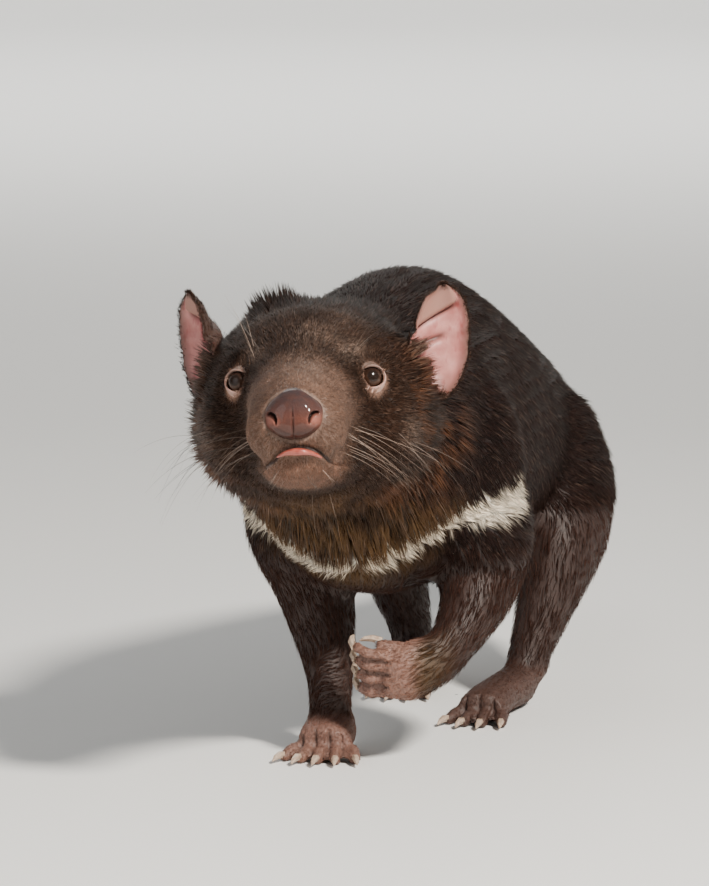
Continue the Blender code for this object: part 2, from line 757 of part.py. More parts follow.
def add_toes(paw, toes, radii):
    pieces = [digit("toe", points, radii) for points, _ in toes]
    return combine(paw, pieces, "UNION")


def stand_flat(paw):
    """Cuts the pads off level with the floor."""
    return combine(paw, [half_space((0, 0, 0), (0, 0, -1))], "DIFFERENCE")


def claw(name, tip, along, lift):
    """A curved, pointed claw whose root is sunk in the end of its toe."""
    path = []
    for reach, arch in zip(CLAW_SHARES, CLAW_ARCH):
        path.append(tip + along * (reach * CLAW_LENGTH) + lift * arch)
    return digit(name, path, CLAW_RADII, count=6)


def material(name, color, roughness):
    made = bpy.data.materials.new(name)
    made.use_nodes = True
    shader = made.node_tree.nodes["Principled BSDF"]
    shader.inputs["Base Color"].default_value = (*color, 1)
    shader.inputs["Roughness"].default_value = roughness
    shader.inputs["Metallic"].default_value = 0
    return made


def build_leg(nodes, flesh, leg):
    """Parts one leg off the flesh, then its paw and its lower half off the leg."""
    if "paw_room" in leg:
        paw = part_off(flesh, leg["paw"], ball("room", *leg["paw_room"]))
    whole = part_off(flesh, leg["upper"], ball("room", *leg["room"]))
    if "wrist" in leg:
        paw = part_off(whole, leg["paw"], half_space(*leg["wrist"]))
    lower = part_off(whole, leg["lower"], half_space(*leg["joint"]))
    stands = "standing" in leg
    toes = standing_toes(*leg["standing"]) if stands else lifted_toes(*leg["lifted"])
    add_toes(paw, toes, TOE_RADII if stands else LIFTED_RADII)
    if stands:
        stand_flat(paw)
    nodes[leg["upper"]] = whole
    nodes[leg["lower"]] = lower
    nodes[leg["paw"]] = paw
    for index, (points, along) in enumerate(toes, 1):
        name = f"{leg['paw']}_claw_{index}"
        lift = UPWARD if stands or index > LIFTED_TOES else LIFTED_HEADING
        nodes[name] = clear_of(claw(name, points[-1], along, lift), paw)


def build_head(nodes, flesh):
    head = part_off(flesh, "head", half_space(*HEAD_PLANE))
    nodes["head"] = finish_head(head)
    nodes["nose"] = combine(nose_pad("nose"), nostrils(), "DIFFERENCE")
    nodes["left_ear"] = ear("left_ear", 1, LEFT_EAR_FOOT, LEFT_EAR_TURN)
    nodes["right_ear"] = ear("right_ear", -1, RIGHT_EAR_FOOT, RIGHT_EAR_TURN)
    nodes["left_eye"] = eyeball("left_eye", 1)
    nodes["right_eye"] = eyeball("right_eye", -1)



def build():
    flesh = fused_flesh(head_masses() + body_masses())
    thinned(flesh, FLESH_TRIANGLES)
    nodes = {}
    build_head(nodes, flesh)
    nodes["tail_tip"] = part_off(flesh, "tail_tip", half_space(*TAIL_TIP_PLANE))
    nodes["tail_base"] = part_off(flesh, "tail_base", half_space(*TAIL_PLANE))
    for leg in LEGS:
        build_leg(nodes, flesh, leg)
    nodes["neck"] = part_off(flesh, "neck", half_space(*NECK_PLANE))
    nodes["torso"] = flesh
    for word in ("left", "right"):
        name = f"{word}_ear"
        clear_of(clear_of(nodes[name], nodes["head"]), nodes["neck"])
    return nodes


def centered(nodes):
    """Moves every node so that the middle of the whole stands over the origin."""
    corners = []
    for obj in nodes.values():
        points = np.array([vert.co for vert in obj.data.vertices])
        corners += [points.min(axis=0), points.max(axis=0)]
    middle = (np.min(corners, axis=0) + np.max(corners, axis=0)) / 2
    for obj in nodes.values():
        obj.data.transform(Matrix.Translation((-middle[0], -middle[1], 0)))


def finish(nodes):
    """Names, materials, shading and the collection of the finished parts."""
    parts = bpy.data.collections.new("tasmanian_devil")
    bpy.context.scene.collection.children.link(parts)
    made = {name: material(name, *look) for name, look in LOOKS.items()}
    for name, obj in nodes.items():
        obj.name = obj.data.name = name
        obj.data.materials.clear()
        obj.data.materials.append(made[look_of(name)])
        obj.data.shade_smooth()
        obj.data.set_sharp_from_angle(angle=SHARP_ANGLE)
        bpy.context.scene.collection.objects.unlink(obj)
        parts.objects.link(obj)


def look_of(name):
    """The material of a node, from the last word of its name that has one."""
    for word, look in LOOK_WORDS:
        if word in name:
            return look
    return "dark_fur"


clear_scene()
nodes = build()
centered(nodes)
finish(nodes)
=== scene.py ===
# A Tasmanian devil, life size and still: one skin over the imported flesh, a short coat of solid tufts,
# and eyes, lids, nose, lip, ears and whiskers of their own.
import math

import bmesh
import bpy
import numpy as np
from mathutils import Matrix, Vector
from mathutils.bvhtree import BVHTree


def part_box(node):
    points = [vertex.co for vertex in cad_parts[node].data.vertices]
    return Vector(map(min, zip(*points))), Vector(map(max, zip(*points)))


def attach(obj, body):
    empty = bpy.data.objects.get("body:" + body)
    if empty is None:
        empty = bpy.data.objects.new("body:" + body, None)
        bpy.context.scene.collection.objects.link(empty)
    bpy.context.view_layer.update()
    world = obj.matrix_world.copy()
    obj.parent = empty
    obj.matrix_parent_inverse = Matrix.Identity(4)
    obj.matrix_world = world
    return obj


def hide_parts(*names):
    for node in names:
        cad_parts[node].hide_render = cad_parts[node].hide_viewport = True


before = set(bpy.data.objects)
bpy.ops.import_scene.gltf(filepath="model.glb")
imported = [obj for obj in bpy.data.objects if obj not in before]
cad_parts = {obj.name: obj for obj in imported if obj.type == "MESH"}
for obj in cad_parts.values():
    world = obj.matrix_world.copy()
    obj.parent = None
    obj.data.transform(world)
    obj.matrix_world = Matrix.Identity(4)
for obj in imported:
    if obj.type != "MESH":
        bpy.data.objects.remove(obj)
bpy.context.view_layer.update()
chance = np.random.default_rng(20261)
print("frame loaded:", len(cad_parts), "nodes")


# Small tools: ramps, paths and meshes from arrays

# Smooth step: 0 at low, 1 at high, 3t^2 - 2t^3 between; low may be the larger.
def ramp(low, high, value):
    t = np.clip((value - low) / (high - low), 0, 1)
    return t * t * (3 - 2 * t)


# Each row divided by its own length.
def unit(vectors):
    return vectors / np.maximum(np.linalg.norm(vectors, axis=-1, keepdims=True), 1e-12)


# Bell round a centre: exp(-(sum of (offset / radius)^2)).
def blob(points, centre, radii):
    return np.exp(-(((points - np.array(centre)) / np.array(radii)) ** 2).sum(axis=1))


# Nearest place on a line of points: distance, share of its length, direction there, offset from it.
def alongPath(points, path):
    path = np.array(path, float)
    starts, steps = path[:-1], np.diff(path, axis=0)
    lengths = np.linalg.norm(steps, axis=1)
    best = np.full(len(points), np.inf)
    share = np.zeros(len(points))
    heading = np.zeros((len(points), 3))
    offset = np.zeros((len(points), 3))
    walked = np.concatenate(([0], np.cumsum(lengths)))
    for index in range(len(steps)):
        t = np.clip((points - starts[index]) @ steps[index] / lengths[index] ** 2, 0, 1)
        away = points - starts[index] - t[:, None] * steps[index]
        far = np.linalg.norm(away, axis=1)
        closer = far < best
        best = np.where(closer, far, best)
        share = np.where(closer, (walked[index] + t * lengths[index]) / walked[-1], share)
        heading[closer] = steps[index] / lengths[index]
        offset[closer] = away[closer]
    return best, share, heading, offset


# A smooth object at the origin from an array of points and one of faces, all with as many corners.
def meshFrom(name, points, faces):
    mesh = bpy.data.meshes.new(name)
    count, corners = faces.shape
    mesh.vertices.add(len(points))
    mesh.vertices.foreach_set("co", np.ascontiguousarray(points, np.float32).ravel())
    mesh.loops.add(count * corners)
    mesh.loops.foreach_set("vertex_index", np.ascontiguousarray(faces, np.int32).ravel())
    mesh.polygons.add(count)
    mesh.polygons.foreach_set("loop_start", np.arange(0, count * corners, corners, dtype=np.int32))
    mesh.polygons.foreach_set("use_smooth", np.full(count, True))
    mesh.update(calc_edges=True)
    obj = bpy.data.objects.new(name, mesh)
    bpy.context.scene.collection.objects.link(obj)
    return obj


# Quads of a grid of rows by columns, joined round in its columns where wrap is set.
def gridFaces(rows, columns, wrap=False):
    row, column = np.meshgrid(np.arange(rows - 1), np.arange(columns - (not wrap)), indexing="ij")
    after = (column + 1) % columns
    quads = np.stack([row * columns + column, row * columns + after,
                      (row + 1) * columns + after, (row + 1) * columns + column], axis=-1)
    return quads.reshape(-1, 4)


# Even steps round a full turn, in radians.
def circle(count):
    return np.linspace(0, 2 * math.pi, count, endpoint=False)


# The value, carried towards a target by a mask.
def toward(value, target, mask):
    return value + (target - value) * mask


# The value and, for each named mask, its amount times the mask.
def added(value, amounts, where):
    for name, amount in amounts.items():
        value = value + amount * where[name]
    return value


# Inner rows turned into a quarter of each neighbour and half of themselves, again and again.
def softened(rows, rounds):
    for _ in range(rounds):
        rows[1:-1] = 0.25 * rows[:-2] + 0.5 * rows[1:-1] + 0.25 * rows[2:]
    return rows


# Merges doubled points, closes open rims and turns every face outwards, then smooths the shading.
def finishPiece(obj, material, distance=1e-7):
    bm = bmesh.new()
    bm.from_mesh(obj.data)
    bmesh.ops.remove_doubles(bm, verts=bm.verts, dist=distance)
    bmesh.ops.dissolve_degenerate(bm, edges=bm.edges, dist=distance)
    bmesh.ops.holes_fill(bm, edges=[edge for edge in bm.edges if edge.is_boundary], sides=0)
    bmesh.ops.recalc_face_normals(bm, faces=bm.faces)
    bm.to_mesh(obj.data)
    bm.free()
    obj.data.shade_smooth()
    obj.data.materials.append(material)


# One number or one vector at every point of the mesh.
def putAttribute(obj, name, values):
    kind, field = ("FLOAT_VECTOR", "vector") if values.ndim == 2 else ("FLOAT", "value")
    layer = obj.data.attributes.new(name, kind, "POINT")
    layer.data.foreach_set(field, np.ascontiguousarray(values, np.float32).ravel())


def pointsOf(mesh):
    found = np.empty(len(mesh.vertices) * 3, np.float32)
    mesh.vertices.foreach_get("co", found)
    return found.reshape(-1, 3).astype(float)


def normalsOf(mesh):
    found = np.empty(len(mesh.vertices) * 3, np.float32)
    mesh.vertices.foreach_get("normal", found)
    return found.reshape(-1, 3).astype(float)


# The head's own frame in millimetres: x to its left, y backwards, z up. The middle between the eyes lies at
# eyeMiddle.
headPose = {"yaw": 9.0, "pitch": 7.0, "roll": 2.4, "eyeMiddle": (0.0, -3.8, -0.3), "eyesApart": 64.4}


def turnAbout(axis, degrees):
    return np.array(Matrix.Rotation(math.radians(degrees), 3, axis))


headTurn = (turnAbout("Z", headPose["yaw"]) @ turnAbout("X", -headPose["pitch"])
            @ turnAbout("Y", -headPose["roll"]))
eyeCentres = {side: np.array(sum(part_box(side + "_eye"), Vector())) / 2 for side in ("left", "right")}
headPlace = (eyeCentres["left"] + eyeCentres["right"]) / 2 - headTurn @ np.array(headPose["eyeMiddle"]) / 1000


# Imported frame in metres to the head's frame in millimetres.
def toHead(points):
    return (points - headPlace) @ headTurn * 1000


def fromHead(places):
    return np.asarray(places, float) / 1000 @ headTurn.T + headPlace


# Millimetres from the nearer eye, for places in the head's frame.
def fromEyes(q, stretch=(1, 1, 1)):
    _, back, height = headPose["eyeMiddle"]
    away = [(q - (side * headPose["eyesApart"] / 2, back, height)) * stretch for side in (1, -1)]
    return np.linalg.norm(away, axis=2).min(axis=0)


# Camera, floor and light
view = {"azimuth": 14.0, "down": 7.0, "focal": 5200.0, "away": 2.6, "middle": (354.5, 443.0),
        "eyesAt": (306.0, 380.0), "longSide": 886.0, "sensor": 36.0, "farthest": 60}


# Stands where the middle between the eyes falls on its own pixel, at the given distance. Returns its right.
def photoCamera():
    turn, tilt = math.radians(view["azimuth"]), math.radians(view["down"])
    right = np.array((math.cos(turn), math.sin(turn), 0))
    up = np.array((-math.sin(turn) * math.sin(tilt), math.cos(turn) * math.sin(tilt), math.cos(tilt)))
    ahead = np.array((-math.sin(turn) * math.cos(tilt), math.cos(turn) * math.cos(tilt), -math.sin(tilt)))
    scale = view["away"] / view["focal"]
    across, below = np.subtract(view["eyesAt"], view["middle"]) * scale
    place = headPlace - ahead * view["away"] - right * across + up * below
    camera = bpy.data.cameras.new("photoCamera")
    camera.sensor_width = view["sensor"]
    camera.lens = view["focal"] * view["sensor"] / view["longSide"]
    camera.clip_end = view["farthest"]
    obj = bpy.data.objects.new("photoCamera", camera)
    bpy.context.scene.collection.objects.link(obj)
    matrix = np.eye(4)
    matrix[:3, :3] = np.column_stack((right, up, -ahead))
    matrix[:3, 3] = place
    obj.matrix_world = Matrix(matrix)
    bpy.context.scene.camera = obj
    return right


cameraRight = photoCamera()
# Lamps, by metres to the right of the view, up, and along its level direction.
lights = {
    "key": {"right": 1.05, "up": 1.75, "level": -1.75, "size": 0.34, "power": 128, "aim": (0.0, -0.15, 0.14),
            "colour": (1.0, 0.945, 0.86)},
    "fill": {"right": -1.8, "up": 0.9, "level": -1.9, "size": 2.0, "power": 13, "aim": (0.0, -0.15, 0.14),
             "colour": (0.92, 0.96, 1.0)},
    "rim": {"right": -0.5, "up": 1.9, "level": 1.5, "size": 1.2, "power": 9, "aim": (0.0, -0.05, 0.14),
            "colour": (1.0, 0.98, 0.95)},
    "wall": {"right": 0.0, "up": 5.5, "level": 4.5, "size": 3.5, "power": 700, "aim": (-2.6, 11.0, 1.5),
             "colour": (1.0, 0.99, 0.96)},
}


# One disc lamp for each entry, placed from the camera's right and level directions and turned to its aim.
def studio():
    for name, look in lights.items():
        target = Vector(look["aim"])
        lamp = bpy.data.lights.new(name + "Light", "AREA")
        lamp.shape, lamp.size = "DISK", look["size"]
        lamp.energy, lamp.color = look["power"], look["colour"]
        obj = bpy.data.objects.new(name + "Light", lamp)
        bpy.context.scene.collection.objects.link(obj)
        level = Vector((-cameraRight[1], cameraRight[0], 0))
        obj.location = Vector(cameraRight) * look["right"] + level * look["level"]
        obj.location.z += look["up"]
        obj.rotation_euler = (obj.location - target).to_track_quat("Z", "Y").to_euler()


# Sizes of the room in metres: flat radius, radius of the bend and height of the wall.
room = {"flat": 9.0, "bend": 4.0, "wall": 12.0, "steps": 12, "spokes": 96, "paper": (0.86, 0.855, 0.84, 1),
        "rough": 0.9, "air": (0.93, 0.95, 0.97, 1), "airLight": 0.26}


def paleAir():
    world = bpy.data.worlds.new("paleRoom")
    world.use_nodes = True
    background = world.node_tree.nodes["Background"]
    background.inputs["Color"].default_value = room["air"]
    background.inputs["Strength"].default_value = room["airLight"]
    bpy.context.scene.world = world


# A floor that curves up into a wall all round: height is a quarter circle past the flat radius.
def paleFloor():
    flat, bend, steps = room["flat"], room["bend"], room["steps"]
    turn = np.linspace(0.1, 1, steps) * math.pi / 2
    radii = np.concatenate((np.linspace(0.001, flat, steps), flat + bend * np.sin(turn), [flat + bend]))
    heights = np.concatenate((np.zeros(steps), bend * (1 - np.cos(turn)), [room["wall"]]))
    angle = circle(room["spokes"])
    points = np.stack([np.outer(radii, np.cos(angle)), np.outer(radii, np.sin(angle)),
                       np.repeat(heights[:, None], len(angle), axis=1)], axis=-1).reshape(-1, 3)
    floor = meshFrom("paleFloor", points, gridFaces(len(radii), len(angle), wrap=True))
    made = bpy.data.materials.new("palePaper")
    made.use_nodes = True
    shader = made.node_tree.nodes["Principled BSDF"]
    shader.inputs["Base Color"].default_value = room["paper"]
    shader.inputs["Roughness"].default_value = room["rough"]
    floor.data.materials.append(made)


studio()
paleAir()
paleFloor()
print("camera, floor and light are set")

# Where things are on the body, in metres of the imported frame
limbs = {
    "rightFore": [(-.050, -.180, .145), (-.046, -.176, .115), (-.039, -.172, .088), (-.032, -.178, .064),
                  (-.026, -.188, .042), (-.024, -.194, .022), (-.0235, -.209, .010), (-.0225, -.232, .004)],
    "leftFore": [(.051, -.178, .148), (.053, -.174, .118), (.0525, -.174, .095), (.0505, -.192, .077),
                 (.0446, -.212, .0614), (.036, -.217, .056), (.024, -.222, .051), (.006, -.227, .050)],
    "leftHind": [(.046, .066, .133), (.053, .040, .106), (.0566, .015, .082), (.052, .001, .058),
                 (.047, -.010, .036), (.0425, -.022, .016), (.0365, -.057, .011), (.0330, -.106, .004)],
    "rightHind": [(-.038, .066, .133), (-.046, .048, .106), (-.047, .038, .082), (-.044, .042, .058),
                  (-.040, .050, .036), (-.037, .054, .016), (-.032, .018, .011), (-.028, -.034, .004)],
}
tailPath = [(.004, .136, .130), (.002, .166, .124), (-.002, .202, .117), (-.008, .250, .108),
            (-.017, .310, .101), (-.025, .365, .101), (-.030, .402, .105)]
# The white band across the breast: place, and half its width in millimetres.
blazePath = [(-.066, -.208, .133, 3.8), (-.060, -.219, .128, 4.8), (-.046, -.233, .122, 5.0),
             (-.032, -.238, .114, 6.6), (-.019, -.238, .107, 7.8), (-.008, -.241, .106, 6.2),
             (.002, -.243, .110, 2.6), (.010, -.243, .110, 7.0), (.022, -.242, .115, 5.2),
             (.036, -.239, .123, 4.4), (.049, -.228, .130, 5.2), (.061, -.212, .134, 7.2),
             (.072, -.201, .138, 9.0), (.078, -.188, .141, 8.8), (.079, -.181, .150, 6.0),
             (.077, -.172, .160, 3.0)]
# The line between the lips, where shade is painted, in the head's frame, and the jaw's turning point and
# radius behind it.
mouthPath = [(-30, -17, -40.5), (-24, -36, -42.5), (-17, -54, -42.8), (-11.5, -63.2, -40.3),
             (-6.5, -67.5, -36.2), (0, -69.6, -33.7), (5.5, -69.0, -33.8), (11, -65.2, -35.8),
             (16, -57.5, -40.8), (20.5, -48.5, -42.8), (26, -34, -42.5), (31, -17, -40.5)]
jaw = {"middle": -10, "radius": 46, "step": 0.02}


# Millimetres up or down from the line between the lips, followed round the jaw by its angle.
def mouthFar(q):
    table = np.array(mouthPath, float)
    knots = np.arctan2(table[:, 0], jaw["middle"] - table[:, 1])
    angle = np.arctan2(q[:, 0], jaw["middle"] - q[:, 1])
    turns = (0, -jaw["step"], jaw["step"])
    level, before, after = [np.interp(angle + turn, knots, table[:, 2]) for turn in turns]
    slope = (after - before) / (2 * jaw["step"] * jaw["radius"])
    return np.abs(q[:, 2] - level) / np.sqrt(1 + slope**2)


# The toes of each paw: middle of the knuckles, heading, half the row's width, how many, and their fan.
paws = [((-.0224, -.2149, .0090), 0.0, .0140, 5, .36), ((.0334, -.0884, .0090), -.10, .0118, 4, .24),
        ((-.0287, -.0134, .0090), .10, .0118, 4, .24)]
raisedPaw = {"knuckles": (.0161, -.2274, .0495), "across": (0, -.38, .92), "heading": (-.98, -.10, .02),
             "curl": (-.36, .84, .40), "spread": .0108, "fan": .10, "reach": .0185, "straight": .60,
             "curled": .3}
# Lines between toes: length and reach in metres, and the shares between which they count.
toeGap = {"long": 0.018, "near": 0.009, "ends": (0.02, 0.999)}


# Lines between neighbouring toes: the standing ones run on from the knuckles, the raised ones then curl.
def creaseLines():
    lines = []
    for knuckles, heading, wide, count, fan in paws:
        ahead = np.array((math.sin(heading), -math.cos(heading), 0))
        across = np.array((math.cos(heading), math.sin(heading), 0))
        for index in range(count - 1):
            share = (2 * index + 1) / (count - 1) - 1
            turn = np.array(Matrix.Rotation(fan * share, 3, "Z"))
            root = np.array(knuckles) + across * share * wide
            lines.append([root, root + turn @ ahead * toeGap["long"]])
    pose = {name: np.array(value) for name, value in raisedPaw.items()}
    for share in (-2 / 3, 0, 2 / 3):
        root = pose["knuckles"] + pose["across"] * share * pose["spread"]
        heading = pose["heading"] + pose["across"] * share * pose["fan"]
        knee = root + heading * pose["straight"] * pose["reach"]
        tip = knee + (heading + 2 * pose["curl"]) * pose["curled"] * pose["reach"]
        lines.append([root - heading * 0.002, knee, tip])
    return lines


# Distance to the nearest of those lines, across it, and whether the place is near any.
def creaseFar(points):
    far = np.full(len(points), 1.0)
    near = np.zeros(len(points))
    for line in creaseLines():
        flat = np.diff(line[:2], axis=0)[0]
        standing = abs(flat[1]) > abs(flat[0])
        level = unit(np.cross((0, 1.0, 0), flat))
        if standing:
            level = np.cross(unit(flat), (0, 0, 1))
        distance, share, _, offset = alongPath(points, line)
        aside = np.abs(offset @ level)
        inside = (distance < toeGap["near"]) & (share > toeGap["ends"][0]) & (share < toeGap["ends"][1])
        far = np.where(inside, np.minimum(far, aside), far)
        near = np.maximum(near, inside * 1.0)
    return far, near


# Where each soft mask is 0 and where it is 1: first in millimetres of the head's frame, then in metres of
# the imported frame. The blaze's are shares of its own half width.
fades = {
    "head": (66, 46), "muzzle": (72, 44), "face": (34, 12), "chinTop": (-38, -43), "chinBack": (-22, -40),
    "eyeRing": (11.4, 7.6), "ruffFront": (2, 30), "ruffBack": (95, 70), "ruffTop": (20, -6),
    "crownFront": (6, 24), "crownSide": (16, 34), "mouth": (1.5, 0.5), "mouthBack": (-40, -58),
    "neckBack": (100, 60), "neckFront": (8, 30), "neckTop": (18, -16), "cheekFront": (4, 26),
    "cheekTop": (24, -10), "throatTop": (-50, -66), "throatFront": (-20, 10),
    "rustBack": (-0.212, -0.238), "throatBack": (-0.212, -0.235), "blaze": (1.25, 0.72),
    "limbTop": (0.128, 0.092), "limb": (0.075, 0.050), "limbBack": (0.180, 0.150), "paw": (0.026, 0.016),
    "raisedSide": (0.037, 0.026), "raised": (0.045, 0.037), "raisedFront": (-0.190, -0.198),
    "raisedTop": (0.085, 0.078), "fore": (-0.13, -0.16), "toeGap": (0.0013, 0.0004), "tail": (0.160, 0.185),
    "tailEnd": (0.300, 0.370), "rump": (0.02, 0.12),
}
# Pale spots of the head: strength, whether on both sides, middle and reach.
paleSpots = [(1.0, True, (24, -15, 13), (8, 12, 6)), (0.7, False, (4, -16, 23), (15, 14, 8)),
             (0.75, False, (2, -44, 6), (13, 20, 8)), (0.7, True, (50, 8, -28), (7, 8, 8)),
             (0.4, True, (22, 8, 34), (14, 12, 10))]
# Longer tufts in front of the ears and on the nape: middle and reach.
longTufts = {"earFront": ((48, 38, 14), (9, 12, 9)), "nape": ((-20, 52, 36), (15, 18, 12))}
# Middle of the pale muzzle in y and z, and how much height counts above and below it.
muzzleShape = {"tip": -78, "level": -20, "above": 1.45, "below": 0.9}


def fade(name, value):
    return ramp(*fades[name], value)


# Masks of the head, neck and throat, from places in the head's frame.
def headMasks(q):
    x, y, z = np.abs(q[:, 0]), q[:, 1], q[:, 2]
    half = np.column_stack((x, y, z))
    found = {"q": q, "head": fade("head", y - 0.36 * (z + 6))}
    above = z - muzzleShape["level"]
    above = np.where(above > 0, muzzleShape["above"] * above, muzzleShape["below"] * above)
    fromNose = np.sqrt(x**2 + (y - muzzleShape["tip"]) ** 2 + above**2)
    patchy = 3.0 * np.sin(q[:, 0] * 0.55 + 1.0) * np.sin(z * 0.47) + 1.6 * np.sin(q[:, 0] * 1.3 + y * 0.9)
    found["muzzle"] = fade("muzzle", fromNose + patchy) * found["head"]
    found["face"] = fade("face", y + 0.15 * x) * found["head"]
    found["chin"] = fade("chinTop", z) * fade("chinBack", y)
    found["eyeRing"] = fade("eyeRing", fromEyes(q, (1, 1, 1.05)) + np.where(z > 2, 2.0, 0))
    pale = 0
    for strength, mirrored, middle, reach in paleSpots:
        pale = pale + strength * blob(half if mirrored else q, middle, reach)
    found["earFront"] = blob(half, *longTufts["earFront"])
    found["pale"] = np.clip(np.clip(pale, 0, 1) + 0.8 * found["earFront"], 0, 1)
    found["nape"] = blob(q, *longTufts["nape"])
    found["ruff"] = fade("ruffFront", y) * fade("ruffBack", y) * fade("ruffTop", z + 0.25 * y - 10)
    found["crown"] = found["head"] * fade("crownFront", y) * fade("crownSide", z)
    # Painted shade along the line between the lips.
    found["mouth"] = fade("mouth", mouthFar(q)) * fade("mouthBack", y)
    neck = fade("neckBack", y) * fade("neckFront", y) * fade("neckTop", z)
    cheek = 0.8 * found["head"] * fade("cheekFront", y) * fade("cheekTop", z)
    found["rust"] = np.clip(neck + cheek, 0, 1)
    found["throat"] = fade("throatTop", z) * fade("throatFront", y)
    return found


# The white band: within its own half width, with a wavy edge.
def blazeMask(points):
    far, share, _, _ = alongPath(points, [place[:3] for place in blazePath])
    wide = np.interp(share, np.linspace(0, 1, len(blazePath)), [place[3] for place in blazePath]) / 1000
    wave = 0.0011 * np.sin(points[:, 0] * 900) + 0.0008 * np.sin(points[:, 0] * 2100 + 1.3)
    return fade("blaze", (far + wave) / wide)


# Soft masks of the parts of the body and of the markings, each 0 to 1 at every point.
def whereIs(points):
    found = headMasks(toHead(points))
    x, y, z = points.T
    found["rust"] = found["rust"] * fade("rustBack", y + 0.12 * np.abs(x))
    found["throat"] = found["throat"] * fade("throatBack", y)
    found["blaze"] = blazeMask(points)
    reach = {name: alongPath(points, path) for name, path in limbs.items()}
    found["reach"] = reach
    nearest = np.min([values[0] for values in reach.values()], axis=0)
    found["limb"] = fade("limbTop", z) * fade("limb", nearest) * fade("limbBack", y)
    standing = fade("paw", z)
    nearer = reach["leftFore"][0] < reach["rightFore"][0]
    raised = fade("raisedSide", x) * fade("raised", reach["leftFore"][0]) * nearer
    raised = raised * fade("raisedFront", y) * fade("raisedTop", z)
    found["paw"] = np.clip(standing + raised, 0, 1)
    found["bare"] = np.clip(standing * (0.14 + 0.48 * fade("fore", y)) + 0.76 * raised, 0, 1)
    crease, creased = creaseFar(points)
    # Painted shade in the gaps between the toes, joined to that of the line between the lips.
    found["mouth"] = np.maximum(found["mouth"], 0.55 * fade("toeGap", crease) * creased)
    found["tail"], found["tailEnd"] = fade("tail", y), fade("tailEnd", y)
    found["rump"] = fade("rump", y) * (1 - found["tail"]) * (1 - found["limb"])
    return found


# Depth of the coat in millimetres: the trunk's, what is added to it, and what it turns into.
coatDepths = {"trunk": 3.6, "behind": {"rump": 1.6, "tail": -0.4}, "head": 2.6,
              "upright": {"ruff": 1.4, "crown": 0.6},
              "short": {"face": 1.3, "muzzle": 0.5, "limb": 2.0, "paw": 0.5}, "eyeRing": 0.8}


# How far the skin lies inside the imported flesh, in metres: short on face and feet, deeper behind.
def coatDepth(where):
    depth = added(coatDepths["trunk"], coatDepths["behind"], where)
    depth = toward(depth, coatDepths["head"], where["head"])
    depth = added(depth, coatDepths["upright"], where)
    for part, deep in coatDepths["short"].items():
        depth = toward(depth, deep, where[part])
    return depth * (1 - coatDepths["eyeRing"] * where["eyeRing"]) / 1000


# The skin
fleshNodes = [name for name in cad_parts
              if not any(word in name for word in ("claw", "eye", "_ear", "nose"))]
noseBed = {"middle": -18.0, "half": (14.0, 12.0), "rim": (1.12, 0.94), "back": (-56, -62), "deep": 3.4}
mouthLook = {"deep": 3.0, "wide": 1.15, "least": 0.35, "full": (-48, -60), "back": (-18, -32)}
pawLook = {"deep": 1.7, "wide": 0.8, "rounds": 3}
skinLook = {"grow": 0.00045, "voxel": 0.00105, "rounds": 34, "faceRounds": 7, "browRounds": 22,
            "lipsUnder": (-20, -34), "lipsFront": (-30, -48), "triangles": 190000}


# 1 under the nose pad, 0 outside its outline.
def underNose(q):
    outline = np.hypot(q[:, 0] / noseBed["half"][0], (q[:, 2] - noseBed["middle"]) / noseBed["half"][1])
    return ramp(*noseBed["rim"], outline) * ramp(*noseBed["back"], q[:, 1])


# Copies of the flesh nodes, and of the nose as the bed of its pad, in one mesh of loose shells. Each is
# merged and grown a little, so that neighbours meet.
def joinedFlesh():
    whole = bmesh.new()
    for name in fleshNodes + ["nose"]:
        piece = bmesh.new()
        piece.from_mesh(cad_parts[name].data)
        bmesh.ops.remove_doubles(piece, verts=piece.verts, dist=1e-6)
        piece.normal_update()
        normals = [point.normal.copy() for point in piece.verts]
        for point, normal in zip(piece.verts, normals):
            point.co += normal * skinLook["grow"]
        copy = bpy.data.meshes.new("copy")
        piece.to_mesh(copy)
        piece.free()
        whole.from_mesh(copy)
        bpy.data.meshes.remove(copy)
    mesh = bpy.data.meshes.new("devilSkin")
    whole.to_mesh(mesh)
    whole.free()
    obj = bpy.data.objects.new("devilSkin", mesh)
    bpy.context.scene.collection.objects.link(obj)
    return obj


# Applies the modifiers.
def settle(obj):
    graph = bpy.context.evaluated_depsgraph_get()
    mesh = bpy.data.meshes.new_from_object(obj.evaluated_get(graph))
    old = obj.data
    obj.modifiers.clear()
    obj.data = mesh
    bpy.data.meshes.remove(old)


# Rounds of p + w (mean of its neighbours - p), with a weight at each point and round.
def neighbourMean(points, edges, count, rounds, weight):
    ends = np.concatenate((edges[:, 0], edges[:, 1]))
    others = np.concatenate((edges[:, 1], edges[:, 0]))
    degree = np.maximum(np.bincount(ends, minlength=count), 1)
    for index in range(rounds):
        mean = np.column_stack([np.bincount(ends, points[others, axis], count) / degree for axis in range(3)])
        points = points + (weight(index) * 0.5)[:, None] * (mean - points)
    return points


# Adds the bed of the nose and the grooves between lips and toes to the skin's inset, in metres. A groove is
# deep * exp(-(distance / wide)^2).
def carved(inset, points, q):
    line = mouthFar(toHead(points))
    apart = mouthLook["least"] + (1 - mouthLook["least"]) * ramp(*mouthLook["full"], q[:, 1])
    lips = mouthLook["deep"] / 1000 * np.exp(-((line / mouthLook["wide"]) ** 2)) * apart
    inset = inset + lips * ramp(*mouthLook["back"], q[:, 1])
    inset = inset + noseBed["deep"] / 1000 * underNose(toHead(points))
    crease, creased = creaseFar(points)
    return inset + pawLook["deep"] / 1000 * np.exp(-((crease * 1000 / pawLook["wide"]) ** 2)) * creased


